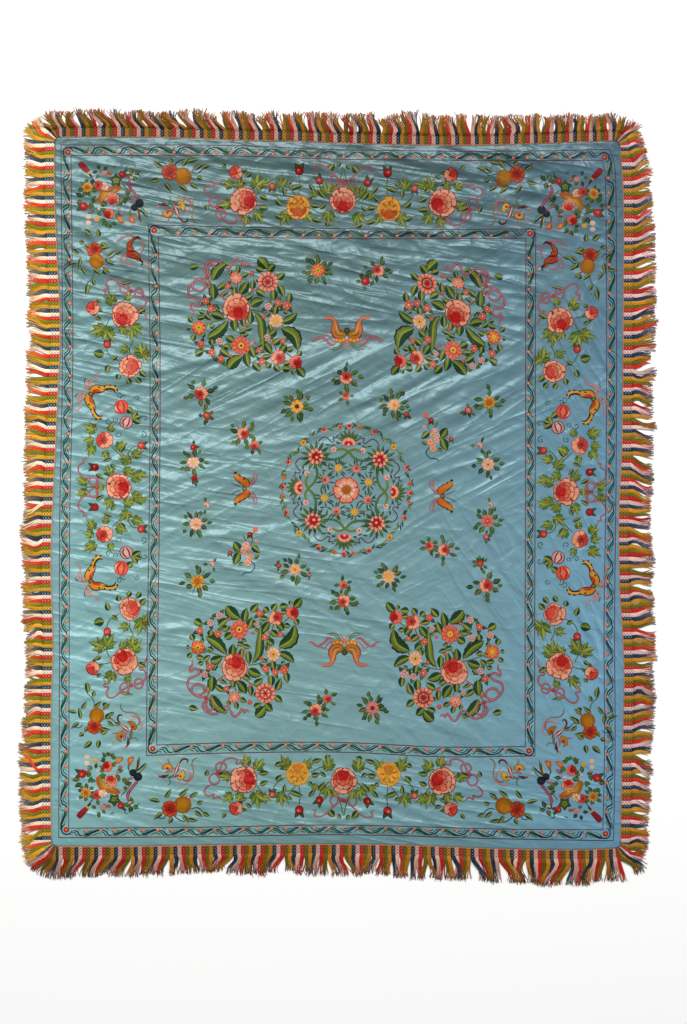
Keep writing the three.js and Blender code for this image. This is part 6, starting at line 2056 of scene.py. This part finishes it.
edging = Stitches()
for shape in RUNS.values():
    line = edge_walk(shape["facing"], np.linspace(0.011, 0.989, 60))
    line = np.stack([line[:, 0] / MM_PER_PIXEL + PHOTO_ORIGIN[0],
                     PHOTO_ORIGIN[1] - line[:, 1] / MM_PER_PIXEL], -1)
    stroke(Pen(edging), line, 1.25, "edging", 0.3, 1.0, steps=400)
edging_cord = edging.mesh("edging_cord", braid_look)
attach(edging_cord, "root")

floss_look = floss_material("embroidery_floss", 0.5, 0.8, 0.45)
for name, stitches in embroider().items():
    piece = stitches.mesh(f"embroidery_{name}", floss_look)
    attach(piece, "root")


# The floor in metres, just under the silk, and the camera's lens and sensor in mm.
FLOOR_HALF = 20.0
FLOOR_LEVEL = -0.0005
LENS = 120.0
SENSOR = 36.0


def area(scene, name, place, target, size, power):
    """A rectangular light at place that shines towards target."""
    light = bpy.data.lights.new(name, "AREA")
    light.shape = "RECTANGLE"
    light.size, light.size_y = size
    light.energy = power
    lamp = bpy.data.objects.new(name, light)
    lamp.location = place
    away = np.array(place) - np.array(target)
    lamp.rotation_mode = "QUATERNION"
    lamp.rotation_quaternion = Vector(away).to_track_quat("Z", "Y")
    scene.collection.objects.link(lamp)


def studio():
    """A pale floor, one large soft light from the top end and a weak one across it, and the camera above."""
    scene = bpy.context.scene
    floor_mesh = bpy.data.meshes.new("floor")
    corners = [(-FLOOR_HALF, -FLOOR_HALF, 0), (FLOOR_HALF, -FLOOR_HALF, 0), (FLOOR_HALF, FLOOR_HALF, 0),
               (-FLOOR_HALF, FLOOR_HALF, 0)]
    floor_mesh.from_pydata(corners, [], [(0, 1, 2, 3)])
    floor = bpy.data.objects.new("floor", floor_mesh)
    floor.location.z = FLOOR_LEVEL
    scene.collection.objects.link(floor)
    m = Nodes("pale_floor")
    m.shader.inputs["Base Color"].default_value = (0.905, 0.905, 0.9, 1)
    m.shader.inputs["Roughness"].default_value = 0.9
    floor_mesh.materials.append(m.material)

    world = bpy.data.worlds.new("studio")
    scene.world = world
    world.use_nodes = True
    sky = world.node_tree.nodes["Background"]
    sky.inputs["Color"].default_value = (1.0, 1.0, 1.0, 1)
    sky.inputs["Strength"].default_value = 0.3

    area(scene, "key", (-1.4, 5.2, 6.6), (0, 0, 0), (6.0, 1.5), 840)
    area(scene, "cross", (9.0, 1.0, 6.0), (0, 0, 0), (3.0, 3.0), 260)

    camera = bpy.data.cameras.new("camera")
    camera.lens = LENS
    camera.sensor_width = SENSOR
    camera.clip_end = 100.0
    seen = bpy.data.objects.new("camera", camera)
    mid_x, mid_y = to_mm(PHOTO_WIDTH / 2, PHOTO_HEIGHT / 2)
    away = PHOTO_HEIGHT * MM_PER_PIXEL * MM * LENS / SENSOR
    seen.location = (mid_x * MM, mid_y * MM, away)
    scene.collection.objects.link(seen)
    scene.camera = seen
    scene.view_settings.view_transform = "Standard"


studio()
